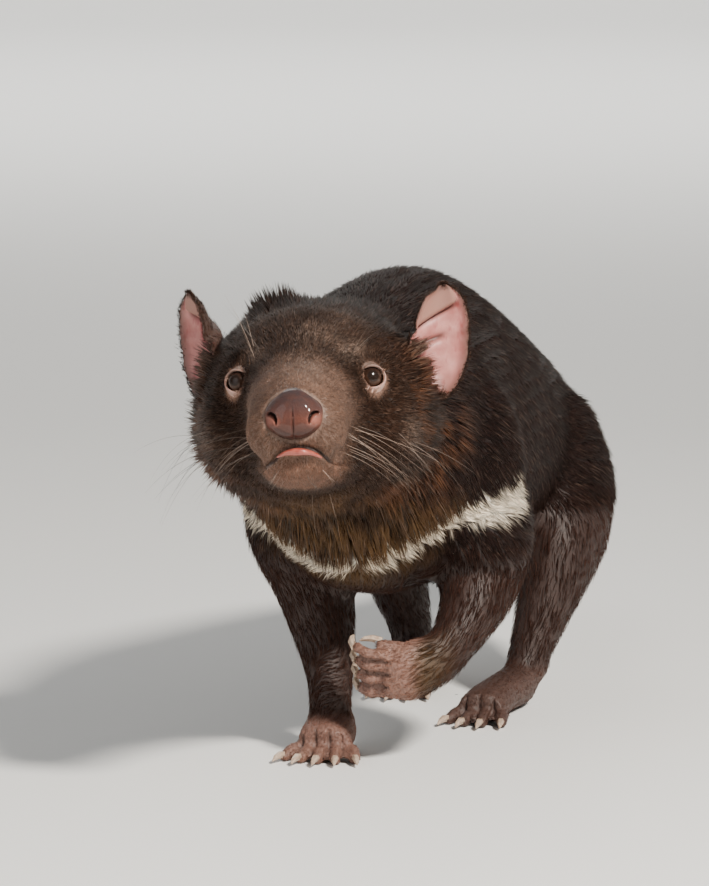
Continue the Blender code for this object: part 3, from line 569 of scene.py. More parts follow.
# Rounds of smoothing at each point: most on the body, few about the lips, the eyes and the paws.
def smoothingRounds(where):
    look, q = skinLook, where["q"]
    gentle = np.clip(np.maximum(where["face"], where["paw"]), 0, 1)
    lips = ramp(*look["lipsUnder"], q[:, 2]) * ramp(*look["lipsFront"], q[:, 1])
    rounds = toward(look["rounds"], look["faceRounds"], gentle)
    rounds = rounds + (look["browRounds"] - rounds) * where["face"] * (1 - lips) * (1 - where["eyeRing"])
    return toward(rounds, pawLook["rounds"], where["paw"])


# The shells fused by voxels, smoothed, let in by the coat's depth, grooved and thinned out.
def buildSkin():
    skin = joinedFlesh()
    remesh = skin.modifiers.new("fuse", "REMESH")
    remesh.mode, remesh.voxel_size = "VOXEL", skinLook["voxel"]
    settle(skin)
    mesh = skin.data
    points = pointsOf(mesh)
    edges = np.empty(len(mesh.edges) * 2, np.int32)
    mesh.edges.foreach_get("vertices", edges)
    where = whereIs(points)
    rounds = smoothingRounds(where)
    points = neighbourMean(points, edges.reshape(-1, 2), len(points), skinLook["rounds"],
                           lambda index: np.clip(rounds - index, 0, 1))
    mesh.vertices.foreach_set("co", points.astype(np.float32).ravel())
    mesh.update()
    inset = carved(coatDepth(whereIs(points)) + skinLook["grow"], points, where["q"])
    points = points - normalsOf(mesh) * inset[:, None]
    mesh.vertices.foreach_set("co", points.astype(np.float32).ravel())
    mesh.update()
    print("skin before thinning:", len(mesh.polygons), "faces")
    thin = skin.modifiers.new("thin", "DECIMATE")
    thin.ratio = skinLook["triangles"] / (2 * len(mesh.polygons))
    thin.use_collapse_triangulate = True
    settle(skin)
    skin.data.shade_smooth()
    return skin


skin = buildSkin()
skinPoints, skinNormals = pointsOf(skin.data), normalsOf(skin.data)
skinTriangles = np.empty(len(skin.data.polygons) * 3, np.int32)
skin.data.polygons.foreach_get("vertices", skinTriangles)
skinTriangles = skinTriangles.reshape(-1, 3)
skinWhere = whereIs(skinPoints)
skinTree = BVHTree.FromPolygons(skinPoints.tolist(), skinTriangles.tolist())
print("skin:", len(skinTriangles), "triangles")


# The masks that the coat and the skin share, three to a vector.
markings = {"One": ("blaze", "muzzle", "rust"), "Two": ("pale", "eyeRing", "chin"),
            "Three": ("throat", "head", "bare"), "Four": ("limb", "mouth", "crown")}


def markingRows(where):
    return {"marks" + number: np.column_stack([where[name] for name in names])
            for number, names in markings.items()}


for attributeName, attributeValues in markingRows(skinWhere).items():
    putAttribute(skin, attributeName, attributeValues)
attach(skin, "root")
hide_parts(*fleshNodes)


# Shader groups and materials

# A shader group with named sockets; returns it with its input and output nodes.
def newGroup(name, inputs, outputs):
    group = bpy.data.node_groups.new(name, "ShaderNodeTree")
    for socketName, kind, value in inputs:
        socket = group.interface.new_socket(socketName, in_out="INPUT", socket_type=kind)
        if value is not None:
            socket.default_value = value
    for socketName, kind in outputs:
        group.interface.new_socket(socketName, in_out="OUTPUT", socket_type=kind)
    return group, group.nodes.new("NodeGroupInput"), group.nodes.new("NodeGroupOutput")


# One colour over another by a factor; each may be a socket or a plain value.
def mixColour(tree, factor, first, second, blend="MIX"):
    node = tree.nodes.new("ShaderNodeMix")
    node.data_type, node.blend_type = "RGBA", blend
    for socket, value in ((node.inputs[0], factor), (node.inputs[6], first), (node.inputs[7], second)):
        if isinstance(value, bpy.types.NodeSocket):
            tree.links.new(value, socket)
        else:
            socket.default_value = value if isinstance(value, (int, float)) else (*value, 1)
    return node.outputs[2]


def calc(tree, operation, first, second=0.0, third=0.0):
    node = tree.nodes.new("ShaderNodeMath")
    node.operation = operation
    for socket, value in zip(node.inputs, (first, second, third)):
        if isinstance(value, bpy.types.NodeSocket):
            tree.links.new(value, socket)
        else:
            socket.default_value = value
    return node.outputs[0]


# Noise on object coordinates, stretched along an axis where asked.
def noise(tree, vector, scale, detail=3.0, stretch=None):
    if stretch:
        mapping = tree.nodes.new("ShaderNodeMapping")
        mapping.inputs["Scale"].default_value = stretch
        tree.links.new(vector, mapping.inputs["Vector"])
        vector = mapping.outputs["Vector"]
    node = tree.nodes.new("ShaderNodeTexNoise")
    node.inputs["Scale"].default_value = scale
    node.inputs["Detail"].default_value = detail
    tree.links.new(vector, node.inputs["Vector"])
    return node.outputs["Fac"]


# A value from low..high carried to 0..1 and held there.
def spread(tree, value, low, high):
    node = tree.nodes.new("ShaderNodeMapRange")
    node.inputs["From Min"].default_value = low
    node.inputs["From Max"].default_value = high
    tree.links.new(value, node.inputs["Value"])
    return node.outputs["Result"]


def attribute(tree, name, output="Vector"):
    node = tree.nodes.new("ShaderNodeAttribute")
    node.attribute_name = name
    return node.outputs[output]


# The three numbers of a vector socket.
def parts(tree, vector):
    node = tree.nodes.new("ShaderNodeSeparateXYZ")
    tree.links.new(vector, node.inputs[0])
    return list(node.outputs)


# Colours laid over one another, each one where its socket goes from low to high.
def layered(tree, colour, *layers):
    for socket, low, high, over in layers:
        colour = mixColour(tree, spread(tree, socket, low, high), colour, over)
    return colour


furColours = {
    "body": (0.0230, 0.0135, 0.0120), "leg": (0.040, 0.0185, 0.0135), "head": (0.036, 0.0190, 0.0125),
    "crown": (0.027, 0.0145, 0.0105), "rust": (0.118, 0.053, 0.028), "throat": (0.104, 0.061, 0.029),
    "muzzle": (0.225, 0.138, 0.102), "pale": (0.240, 0.180, 0.150), "ring": (0.360, 0.225, 0.175),
    "chin": (0.250, 0.135, 0.092), "paw": (0.330, 0.175, 0.135), "blaze": (0.860, 0.810, 0.690),
    # The colour of the line between the lips and the toe gaps is painted shade; the one after it is a painted
    # highlight for tuft tips.
    "mouth": (0.034, 0.013, 0.008), "paintedGlint": (0.380, 0.250, 0.190),
}
# The markings in their order: mask, colour, and for a mottled one its grain, low, high and least share.
layers = [
    ("limb", "leg", None), ("head", "head", None), ("crown", "crown", None),
    ("rust", "rust", ("cloud", 0.44, 0.64, 0.0)), ("throat", "throat", ("cloud", 0.25, 0.55, 0.0)),
    ("muzzle", "muzzle", ("fine", 0.20, 0.70, 0.45)), ("pale", "pale", ("fine", 0.30, 0.62, 0.0)),
    ("chin", "chin", ("fine", 0.20, 0.65, 0.0)), ("eyeRing", "ring", None), ("bare", "paw", None),
    ("blaze", "blaze", None), ("mouth", "mouth", None),
]
grains = {"cloud": (55.0, 4.0), "fine": (560.0, 2.0)}


# Colour of hide and hair from the masks: each marking is laid over the one before it. A mottled one counts
# for min(mask, mask * (grain + least)).
def markingGroup():
    inputs = [(name, "NodeSocketVector", None) for name in (*markings, "Place")]
    group, into, out = newGroup("markingColour", inputs, [("Colour", "NodeSocketColor")])
    masks = {}
    for socketName, names in markings.items():
        masks.update(zip(names, parts(group, into.outputs[socketName])))
    grain = {name: noise(group, into.outputs["Place"], *look) for name, look in grains.items()}
    colour = furColours["body"]
    for name, colourName, mottle in layers:
        mask = masks[name]
        if mottle:
            kind, low, high, least = mottle
            thinned = calc(group, "ADD", spread(group, grain[kind], low, high), least)
            mask = calc(group, "MINIMUM", calc(group, "MULTIPLY", mask, thinned), mask)
        colour = mixColour(group, mask, colour, furColours[colourName])
    group.links.new(colour, out.inputs["Colour"])
    return group


markingColour = markingGroup()


# A material with its plain values set on the shader's own sockets.
def newMaterial(name, **values):
    made = bpy.data.materials.new(name)
    made.use_nodes = True
    shader = made.node_tree.nodes["Principled BSDF"]
    for socket, value in values.items():
        shader.inputs[socket.replace("_", " ")].default_value = value
    return made, made.node_tree, shader


def objectPlace(tree):
    return tree.nodes.new("ShaderNodeTexCoord").outputs["Object"]


def bumpFrom(tree, shader, height, strength, distance):
    bump = tree.nodes.new("ShaderNodeBump")
    bump.inputs["Strength"].default_value = strength
    bump.inputs["Distance"].default_value = distance
    tree.links.new(height, bump.inputs["Height"])
    tree.links.new(bump.outputs["Normal"], shader.inputs["Normal"])


def markingNodes(tree):
    node = tree.nodes.new("ShaderNodeGroup")
    node.node_tree = markingColour
    for socketName in markings:
        tree.links.new(attribute(tree, "marks" + socketName), node.inputs[socketName])
    tree.links.new(objectPlace(tree), node.inputs["Place"])
    return node.outputs["Colour"]


hideLook = {"grain": 900.0, "along": (1.0, 0.25, 0.6), "shade": (0.42, 0.40, 0.40), "bump": (0.5, 0.0006)}


# Hide under the coat: the markings, darkened by small hair-like streaks that also raise it.
def hideMaterial():
    made, tree, shader = newMaterial("hide", Roughness=0.62)
    streak = noise(tree, objectPlace(tree), hideLook["grain"], 2.0, hideLook["along"])
    shade = layered(tree, hideLook["shade"], (streak, 0.2, 0.75, (1.0, 1.0, 1.0)))
    colour = mixColour(tree, 1.0, markingNodes(tree), shade, "MULTIPLY")
    tree.links.new(colour, shader.inputs["Base Color"])
    bumpFrom(tree, shader, streak, *hideLook["bump"])
    return made


furLook = {"Roughness": 0.46, "Specular_IOR_Level": 0.09}
furShades = {"root": (0.38, 0.36, 0.36), "dark": (0.42, 0.40, 0.40), "light": (1.85, 1.72, 1.62)}


# Hair: the markings, dark at the root, and on some tufts a paler tip that is a painted highlight.
def furMaterial():
    made, tree, shader = newMaterial("coatHair", **furLook)
    tipward, strand, paintedGlint = parts(tree, attribute(tree, "tuftInfo"))
    rooted = layered(tree, furShades["root"], (tipward, 0.0, 0.55, (1.0, 1.0, 1.0)))
    varied = mixColour(tree, strand, furShades["dark"], furShades["light"])
    colour = mixColour(tree, 1.0, markingNodes(tree), rooted, "MULTIPLY")
    colour = mixColour(tree, 1.0, colour, varied, "MULTIPLY")
    # Painted highlight: paler tips on the tufts that carry it.
    shine = calc(tree, "MULTIPLY", paintedGlint, spread(tree, tipward, 0.35, 1.0))
    colour = mixColour(tree, shine, colour, furColours["paintedGlint"])
    tree.links.new(colour, shader.inputs["Base Color"])
    return made


hide, coatHair = hideMaterial(), furMaterial()
skin.data.materials.clear()
skin.data.materials.append(hide)
print("materials for hide and hair are made")


# Eyes: lengths in metres, pupil, rim and swelling by the angle from the axis in radians.
eyeLook = {"radius": 0.0068, "bulge": 0.00055, "swollen": (0.85, 0.30), "axis": (0.36, -0.92, 0.17),
           "rings": 40, "spokes": 56, "pupil": (0.36, 0.46), "rim": (0.70, 0.86)}
eyeGrain = {"fibre": (9.0, 4.0), "fibreShown": (0.3, 0.7), "above": (-0.2, 0.9)}
eyeColours = {"fibre": (0.030, 0.014, 0.009), "fibrePale": (0.052, 0.025, 0.015),
              "above": (0.016, 0.008, 0.006), "pupil": (0.014, 0.008, 0.006), "rim": (0.014, 0.006, 0.004)}


# Centre, outward axis, sideways (away from the nose) and upward directions of an eye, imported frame.
def eyeFrame(side):
    sign = 1 if side == "left" else -1
    axis = unit(headTurn @ (np.array(eyeLook["axis"]) * (sign, 1, 1)))
    up = unit(headTurn @ np.array((0, 0, 1.0)))
    up = unit(up - (up @ axis) * axis)
    out = unit(np.cross(up, axis))
    out = out if out @ (headTurn @ np.array((sign, 0, 0))) > 0 else -out
    return eyeCentres[side], axis, out, up


# Wet eye: a dark pupil, a brown iris of fine spokes with a dark rim and painted shade over its upper part,
# and a clear coat.
def eyeMaterial():
    made, tree, shader = newMaterial("wetEye", Roughness=0.20, Specular_IOR_Level=0.08, Coat_Weight=0.60,
                                     Coat_Roughness=0.015, Coat_IOR=1.33)
    angle, _, height = parts(tree, attribute(tree, "iris"))
    fibre = noise(tree, attribute(tree, "spokes"), *eyeGrain["fibre"])
    # Painted shade: the iris turns darker towards its top.
    brown = layered(tree, eyeColours["fibre"], (fibre, *eyeGrain["fibreShown"], eyeColours["fibrePale"]),
                    (height, *eyeGrain["above"], eyeColours["above"]))
    colour = layered(tree, eyeColours["pupil"], (angle, *eyeLook["pupil"], brown),
                     (angle, *eyeLook["rim"], eyeColours["rim"]))
    tree.links.new(colour, shader.inputs["Base Color"])
    return made


# A ball in rings round its axis, swollen in front: radius + bulge * ramp of the angle from the axis.
def makeEye(side, material):
    centre, axis, out, up = eyeFrame(side)
    polar = np.linspace(0.0, math.pi, eyeLook["rings"])
    around = circle(eyeLook["spokes"])
    polar, around = np.meshgrid(polar, around, indexing="ij")
    radius = eyeLook["radius"] + eyeLook["bulge"] * ramp(*eyeLook["swollen"], polar)
    ray = (np.cos(polar)[..., None] * axis + (np.sin(polar) * np.cos(around))[..., None] * out
           + (np.sin(polar) * np.sin(around))[..., None] * up)
    points = (centre + radius[..., None] * ray).reshape(-1, 3)
    eye = meshFrom(side + "Eye", points, gridFaces(*polar.shape, wrap=True))
    iris = np.column_stack((polar.ravel(), around.ravel(), (np.sin(polar) * np.sin(around)).ravel() / 0.7))
    putAttribute(eye, "iris", iris)
    spokes = np.column_stack((np.cos(around).ravel(), np.sin(around).ravel(), polar.ravel() * 0.35))
    putAttribute(eye, "spokes", spokes)
    finishPiece(eye, material)
    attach(eye, "root")
    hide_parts(side + "_eye")


# Lids: lengths in millimetres from the eye's centre, roll as shares of the way out, the sheet in metres.
lidLook = {"halfWidth": 6.3, "below": 5.4, "above": 4.9, "corner": 1.3, "outerCorner": 0.5, "thick": 0.95,
           "reach": 9.4, "rings": 34, "spokes": 96, "gap": 0.45, "lift": 0.35, "roll": (0.0, 0.16),
           "edge": -0.15, "onBall": 0.985, "fall": 0.55, "brow": 0.55, "leave": (6.4, 8.6),
           "sink": (7.9, 9.3), "over": 0.2, "under": 1.2, "least": 0.1, "deepest": 1.5, "sheet": 0.0006}
# Creases of the upper and of the lower lid: depth, distance from the edge, width, and where round the eye.
lidCreases = [(0.50, 2.6, 0.55, 1, 0.25), (0.32, 2.1, 0.5, -1, -0.1)]
lidGrain = {"cloud": (420.0, 3.0), "rim": (-0.25, 0.55), "outer": (-0.4, 0.6), "edge": (0.14, 0.42),
            "wet": (0.02, 0.0), "wrinkle": (16.0, 3.0, (3.2, 1.0, 0.6)), "bump": (0.6, 0.0004)}
lidColours = {"rim": (0.680, 0.390, 0.330), "rimAbove": (0.300, 0.180, 0.145), "outer": (0.500, 0.310, 0.250),
              "outerAbove": (0.160, 0.105, 0.084), "wet": (0.10, 0.035, 0.028), "dark": (0.72, 0.70, 0.70),
              "light": (1.2, 1.2, 1.2)}


# Where a ray meets the skin, or None.
def skinAlong(place, direction):
    return skinTree.ray_cast(Vector(place), Vector(direction))[0]


# Bare rim of the lids: pale pink at the edge, taupe above, with fine wrinkles round the eye.
def lidMaterial():
    made, tree, shader = newMaterial("lidSkin", Roughness=0.42, Subsurface_Weight=0.12,
                                     Subsurface_Radius=(0.004, 0.0015, 0.001), Subsurface_Scale=0.4)
    outward, height, _ = parts(tree, attribute(tree, "lid"))
    cloud = noise(tree, objectPlace(tree), *lidGrain["cloud"])
    rim = layered(tree, lidColours["rim"], (height, *lidGrain["rim"], lidColours["rimAbove"]))
    outer = layered(tree, lidColours["outer"], (height, *lidGrain["outer"], lidColours["outerAbove"]))
    colour = layered(tree, rim, (outward, *lidGrain["edge"], outer),
                     (outward, *lidGrain["wet"], lidColours["wet"]))
    mottle = mixColour(tree, cloud, lidColours["dark"], lidColours["light"])
    tree.links.new(mixColour(tree, 1.0, colour, mottle, "MULTIPLY"), shader.inputs["Base Color"])
    wrinkle = noise(tree, attribute(tree, "lid"), *lidGrain["wrinkle"])
    bumpFrom(tree, shader, wrinkle, *lidGrain["bump"])
    return made


# Height of the skin over the eye's centre in millimetres, along its axis, on a grid of feet.
def groundUnder(feet, centre, axis):
    ground = np.zeros(feet.shape[:2])
    for row, column in np.ndindex(ground.shape):
        met = skinAlong(feet[row, column], -axis)
        ground[row, column] = (np.array(met) - centre) @ axis * 1000 if met else np.nan
    return np.where(np.isnan(ground), np.nanmin(ground), ground)


# Rings from the edge on the ball outwards: they roll over the rim, follow the ball, then sink in the skin.
def makeLids(side, material):
    look = lidLook
    centre, axis, out, up = eyeFrame(side)
    rows, count = look["rings"], look["spokes"]
    around = circle(count)
    cosine, sine = np.cos(around), np.sin(around)
    corner = look["corner"] * np.maximum(0, -cosine) ** 6 + look["outerCorner"] * np.maximum(0, cosine) ** 8
    tall = np.where(sine > 0, look["above"], look["below"])
    edge = 1 / np.sqrt((cosine / look["halfWidth"]) ** 2 + (sine / tall) ** 2) + corner
    ball = eyeLook["radius"] * 1000
    share = np.linspace(0, 1, rows)[:, None]
    lateral = edge[None] + (look["reach"] - edge[None]) * np.clip(share, 0, 1) ** 1.5
    roll = ramp(*look["roll"], share)
    brim = ball * look["onBall"]
    radius = ball + look["gap"] + look["lift"] * roll
    onBall = np.sqrt(np.maximum(radius**2 - np.minimum(lateral, brim) ** 2, 0))
    onBall = onBall - look["fall"] * np.maximum(lateral - brim, 0)
    height = onBall + look["thick"] * roll + look["edge"]
    crease = 0
    for deep, far, wide, way, start in lidCreases:
        fold = deep * np.exp(-(((lateral - edge[None] - far) / wide) ** 2))
        crease = crease + fold * np.clip(way * sine[None] + start, 0, 1)
    height = height - crease + look["brow"] * np.clip(sine[None], 0, 1) * roll * ramp(1.0, 0.35, share)
    rays = cosine[None, :, None] * out + sine[None, :, None] * up
    ground = groundUnder(centre + rays * lateral[..., None] / 1000 + axis * 0.030, centre, axis)
    ease, sunk = ramp(*look["leave"], lateral), ramp(*look["sink"], lateral)
    height = height * (1 - ease) + (ground + look["over"] - look["under"] * sunk) * ease
    lowest = ground + look["least"] - look["deepest"] * sunk - 9 * (share < 0.12)
    height = np.maximum(height, lowest)
    points = centre + (rays * lateral[..., None] + axis * height[..., None]) / 1000
    lids = meshFrom(side + "Lids", points.reshape(-1, 3), gridFaces(rows, count, wrap=True))
    info = np.stack(np.broadcast_arrays(share, sine[None], around[None] / math.pi), axis=-1)
    putAttribute(lids, "lid", info.reshape(-1, 3))
    solid = lids.modifiers.new("thickness", "SOLIDIFY")
    solid.thickness, solid.offset = look["sheet"], -1
    if (lids.data.polygons[count * 4].normal @ Vector(axis)) < 0:
        lids.data.flip_normals()
    settle(lids)
    lids.data.shade_smooth()
    lids.data.materials.append(material)
    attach(lids, "root")


wetEye, lidSkin = eyeMaterial(), lidMaterial()
for sideName in ("left", "right"):
    makeEye(sideName, wetEye)
    makeLids(sideName, lidSkin)
print("eyes and lids are set")

# Nose
noseLook = {
    # front to back: y, height of the widest line, half width, rise, drop in the head's frame
    "sections": [(-76.8, -19.4, 0.6, 0.5, 0.6), (-76.5, -19.4, 4.4, 4.6, 4.4), (-75.4, -19.2, 8.4, 8.2, 7.8),
                 (-73.2, -18.8, 11.6, 11.0, 10.0), (-70.2, -18.4, 13.6, 12.8, 11.2),
                 (-66.2, -18.0, 14.7, 13.6, 12.2), (-62.0, -17.8, 14.6, 13.2, 12.6),
                 (-57.0, -17.6, 12.4, 11.0, 11.4), (-52.5, -17.4, 7.5, 7.0, 6.6)],
    # the slit of the left nostril: x and z, half its width at each, and depths and reaches in millimetres
    "nostril": [(12.0, -17.2), (10.9, -17.3), (9.5, -18.3), (8.5, -20.1), (8.1, -22.0)],
    "nostrilWide": [0.75, 1.0, 0.95, 0.75, 0.35], "nostrilDeep": 3.2, "front": (-61, -66), "square": 2.25,
    "lip": 0.40, "wing": (0.6, (10.0, 0, -23), (4.5, 1, 4.5)),
    "hollow": (1.5, (11.0, 0, -19.6), (2.8, 1, 2.6)), "red": (0.75, (11.2, 0, -20.6), (2.8, 1, 2.6)),
    "groove": (0.9, 0.55, (-13, -18)),
    "dimple": (0.35, 3.2, (-13, -19)), "rows": 110, "spokes": 220,
}
noseGrain = {"pebbles": 1300.0, "cloud": (210.0, 4.0), "low": (0.10, 0.55), "under": (0.66, 1.0),
             "cloudShown": (0.35, 0.7), "cloudBump": 0.8, "bump": (0.35, 0.0005)}
noseColours = {"top": (0.034, 0.022, 0.023), "low": (0.098, 0.035, 0.025), "under": (0.026, 0.011, 0.009),
               "cloud": (0.066, 0.028, 0.022), "rim": (0.300, 0.110, 0.080), "inside": (0.016, 0.006, 0.005)}


# Wet leathery skin: dark red-brown, redder low down and on the floor of the nostrils, with painted shade at
# the very bottom and deep in the nostrils, and fine pebbles.
def noseMaterial():
    made, tree, shader = newMaterial("wetNose", Roughness=0.60, Specular_IOR_Level=0.08, Coat_Weight=0.60,
                                     Coat_Roughness=0.07, Coat_IOR=1.45)
    place = objectPlace(tree)
    cells = tree.nodes.new("ShaderNodeTexVoronoi")
    cells.inputs["Scale"].default_value = noseGrain["pebbles"]
    tree.links.new(place, cells.inputs["Vector"])
    inside, low, rim = parts(tree, attribute(tree, "nosePart"))
    cloud = noise(tree, place, *noseGrain["cloud"])
    # Painted shade: the bottom of the pad here, and the deep of the nostrils below, turn near black.
    colour = layered(tree, noseColours["top"], (low, *noseGrain["low"], noseColours["low"]),
                     (low, *noseGrain["under"], noseColours["under"]),
                     (cloud, *noseGrain["cloudShown"], noseColours["cloud"]))
    colour = mixColour(tree, rim, colour, noseColours["rim"])
    colour = mixColour(tree, inside, colour, noseColours["inside"])
    tree.links.new(colour, shader.inputs["Base Color"])
    clouded = calc(tree, "MULTIPLY", cloud, noseGrain["cloudBump"])
    bumpFrom(tree, shader, calc(tree, "ADD", cells.outputs["Distance"], clouded), *noseGrain["bump"])
    return made


# Squared ovals from the tip backwards along the muzzle, narrowed above and below, as points of the head's
# frame: |cos|^(2 / square) sideways and the same of the sine upwards.
def noseGrid(rows, count):
    table = np.array(noseLook["sections"], float)
    where = np.linspace(0, 1, rows) ** 1.15
    knots = np.concatenate(([0], np.cumsum(np.hypot(np.diff(table[:, 0]), np.diff(table[:, 2])))))
    columns = [np.interp(where * knots[-1], knots, table[:, column]) for column in range(5)]
    smooth = softened(np.column_stack(columns), 6)
    around = circle(count)
    power = 2 / noseLook["square"]
    across, upward = [np.sign(wave) * np.abs(wave) ** power for wave in (np.cos(around), np.sin(around))]
    x = smooth[:, 2:3] * across
    z = smooth[:, 1:2] + np.where(upward > 0, smooth[:, 3:4], smooth[:, 4:5]) * upward
    y = np.repeat(smooth[:, 0:1], count, axis=1)
    x = x * (1 - 0.14 * ramp(-22, -31, z) - 0.27 * ramp(-16, -4, z))
    return np.stack((x, y, z), axis=-1).reshape(-1, 3)


# The ovals, pressed in along the slanting slit of each nostril and along the groove between them.
def makeNose():
    look = noseLook
    places = noseGrid(look["rows"], look["spokes"])
    x, y, z = places.T
    flat = np.column_stack((np.abs(x), np.zeros(len(places)), z))
    far, share, _, _ = alongPath(flat, [(a, 0, b) for a, b in look["nostril"]])
    wide = np.interp(share, np.linspace(0, 1, len(look["nostril"])), look["nostrilWide"])
    front = ramp(*look["front"], y)
    pit = np.exp(-((far / wide) ** 2) * 1.1) * front
    lip = np.exp(-(((far - wide * 1.75) / 0.95) ** 2)) * front
    wing, hollow, red = [blob(flat, *look[name][1:]) * front for name in ("wing", "hollow", "red")]
    groove, dimple = [np.exp(-((x / look[name][1]) ** 2)) * ramp(*look[name][2], z) * front
                      for name in ("groove", "dimple")]
    inwards = np.column_stack((-0.25 * np.sign(x) * np.minimum(np.abs(x), 3), np.full(len(places), 3.0),
                               np.full(len(places), 0.5)))
    deep = (look["nostrilDeep"] * pit + look["hollow"][0] * hollow + look["groove"][0] * groove
            + look["dimple"][0] * dimple - look["lip"] * lip - look["wing"][0] * wing)
    places = places + unit(inwards) * deep[:, None]
    nose = meshFrom("nosePad", fromHead(places), gridFaces(look["rows"], look["spokes"], wrap=True))
    floor = red * (1 - ramp(0.25, 0.7, pit))
    rimmed = np.clip(look["red"][0] * floor + 0.25 * lip * ramp(-17.5, -21, places[:, 2]), 0, 1)
    # Per place: how deep in a nostril (painted shade there), how low on the pad (redder, then painted shade
    # at the bottom), and the red rim.
    nosePart = np.column_stack((ramp(0.40, 0.85, pit), ramp(-6, -31, places[:, 2]), rimmed))
    putAttribute(nose, "nosePart", nosePart)
    finishPiece(nose, noseMaterial())
    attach(nose, "root")
    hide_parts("nose")


makeNose()
print("nose is set")

# Lower lip, in millimetres
lipLook = {
    # x, y, z in the head's frame, half height, half depth
    "line": [(-9.0, -66.2, -38.2, 0.4, 0.5), (-6.8, -68.0, -37.2, 0.9, 1.3), (-4.0, -69.4, -36.2, 1.2, 1.8),
             (-1.0, -70.4, -35.9, 1.7, 2.1), (2.0, -70.6, -35.8, 1.9, 2.2), (4.8, -70.1, -36.0, 1.6, 2.0),
             (7.8, -68.4, -36.6, 1.2, 1.7), (10.6, -66.2, -37.8, 0.9, 1.3), (12.6, -64.2, -39.2, 0.4, 0.5)],
    "rows": 90, "spokes": 24, "facing": (0, -1.0, 0.15), "rounds": 30,
}
lipGrain = {"cloud": (380.0, 3.0), "pale": (0.3, 0.72), "crease": (700.0, 2.0, (2.2, 0.5, 0.4)),
            "bump": (0.45, 0.0005)}
lipColours = {"red": (0.240, 0.036, 0.024), "pale": (0.400, 0.092, 0.060)}


# Wet red lip with small creases across it.
def lipMaterial():
    made, tree, shader = newMaterial("wetLip", Roughness=0.42, Specular_IOR_Level=0.25, Coat_Weight=0.9,
                                     Coat_Roughness=0.05, Subsurface_Weight=0.15,
                                     Subsurface_Radius=(0.004, 0.001, 0.0008), Subsurface_Scale=0.4)
    place = objectPlace(tree)
    cloud, crease = noise(tree, place, *lipGrain["cloud"]), noise(tree, place, *lipGrain["crease"])
    colour = layered(tree, lipColours["red"], (cloud, *lipGrain["pale"], lipColours["pale"]))
    tree.links.new(colour, shader.inputs["Base Color"])
    bumpFrom(tree, shader, crease, *lipGrain["bump"])
    return made


# A tapered roll carried along an arch, its radius changing from end to end.
def makeLip():
    table = np.array(lipLook["line"], float)
    step = np.linspace(0, 1, len(table))
    share = np.linspace(0, 1, lipLook["rows"])
    columns = [np.interp(share, step, table[:, column]) for column in range(5)]
    smooth = softened(np.column_stack(columns), lipLook["rounds"])
    path = unit(np.gradient(smooth[:, :3], axis=0))
    facing = np.array(lipLook["facing"])
    front = unit(facing - (path @ facing)[:, None] * path)
    above = np.cross(path, front)
    above = above * np.sign(above[:, 2:3])
    around = circle(lipLook["spokes"])
    points = (smooth[:, None, :3] + np.cos(around)[None, :, None] * front[:, None] * smooth[:, None, 4:5]
              + np.sin(around)[None, :, None] * above[:, None] * smooth[:, None, 3:4])
    faces = gridFaces(lipLook["rows"], lipLook["spokes"], wrap=True)
    lip = meshFrom("lowerLip", fromHead(points.reshape(-1, 3)), faces)
    finishPiece(lip, lipMaterial())
    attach(lip, "root")


makeLip()
print("lip is set")

# Ears: lengths in millimetres, turn and lean in degrees, broadest line as a share of the height.
earLook = {
    "left": {"foot": (59.0, 44.0, -13.0), "turn": 34.0},
    "right": {"foot": (-54.0, 44.0, -13.0), "turn": 56.0},
    "height": 60.5, "halfWidth": 18.3, "cup": 10.0, "broadest": 0.44, "lean": 7.0, "thick": 1.5, "rows": 72,
    "columns": 46,
}
earGrain = {"cloud": (120.0, 5.0), "vein": (230.0, 4.0, (1.0, 1.0, 0.35)), "lobe": (1.2, 2.0),
            "shade": (0.15, 0.85), "pale": (0.3, 0.7), "veinShown": (0.54, 0.68), "foot": (0.26, 0.02),
            "rim": (0.84, 1.0), "cloudBump": 0.6, "bump": (0.4, 0.0006)}
earColours = {"pink": (0.400, 0.135, 0.120), "palePink": (0.580, 0.265, 0.240), "vein": (0.360, 0.095, 0.090),
              "lobe": (0.330, 0.160, 0.125), "shade": (0.120, 0.036, 0.030), "foot": (0.130, 0.055, 0.038),
              "dark": (0.030, 0.016, 0.013), "dusky": (0.080, 0.042, 0.032), "rim": (0.150, 0.075, 0.060)}


# Slanting grooves of the cup: height at the middle, slope, fineness, and where they start and end across.
earGrooves = [(0.705, 0.16, 0.030, -0.80, 0.65), (0.515, 0.10, 0.034, -0.95, 0.35),
              (0.335, 0.08, 0.032, -0.95, -0.10)]
# Ridges between them: depth, height at the middle, slope, fineness, and where they fade across.
earRidges = [(0.45, 0.455, 0.10, 0.04, (0.55, 0.0)), (0.35, 0.27, 0.08, 0.035, (0.2, -0.3))]
# Notches of the inner edge and of both edges, as shares of the half width: depth, height and fineness.
earNotches = [(0.16, 0.95, 0.035), (0.05, 0.62, 0.03)]


# Bell about a slanting line of the ear: exp(-((up - height - slope * across) / fine)^2).
def slantBell(across, up, height, slope, fine):
    return np.exp(-(((up - height - slope * across) / fine) ** 2))


# Half width of an ear in millimetres: a rounded foot below the broadest line and a blunt taper above it,
# with its notches.
def earWidth(across, up):
    broad = earLook["broadest"]
    below = np.sqrt(np.clip(1 - 0.97 * (1 - up / broad) ** 2, 0.02, 1))
    taper = np.clip((up - broad) / (1 - broad), 0, 1)
    outline = np.where(up < broad, below, np.clip(1 - taper**2.9, 0.012, 1) ** 0.60)
    inner, both = [deep * slantBell(across, up, height, 0, fine) for deep, height, fine in earNotches]
    return earLook["halfWidth"] * (outline - (inner * (across < 0) + both))


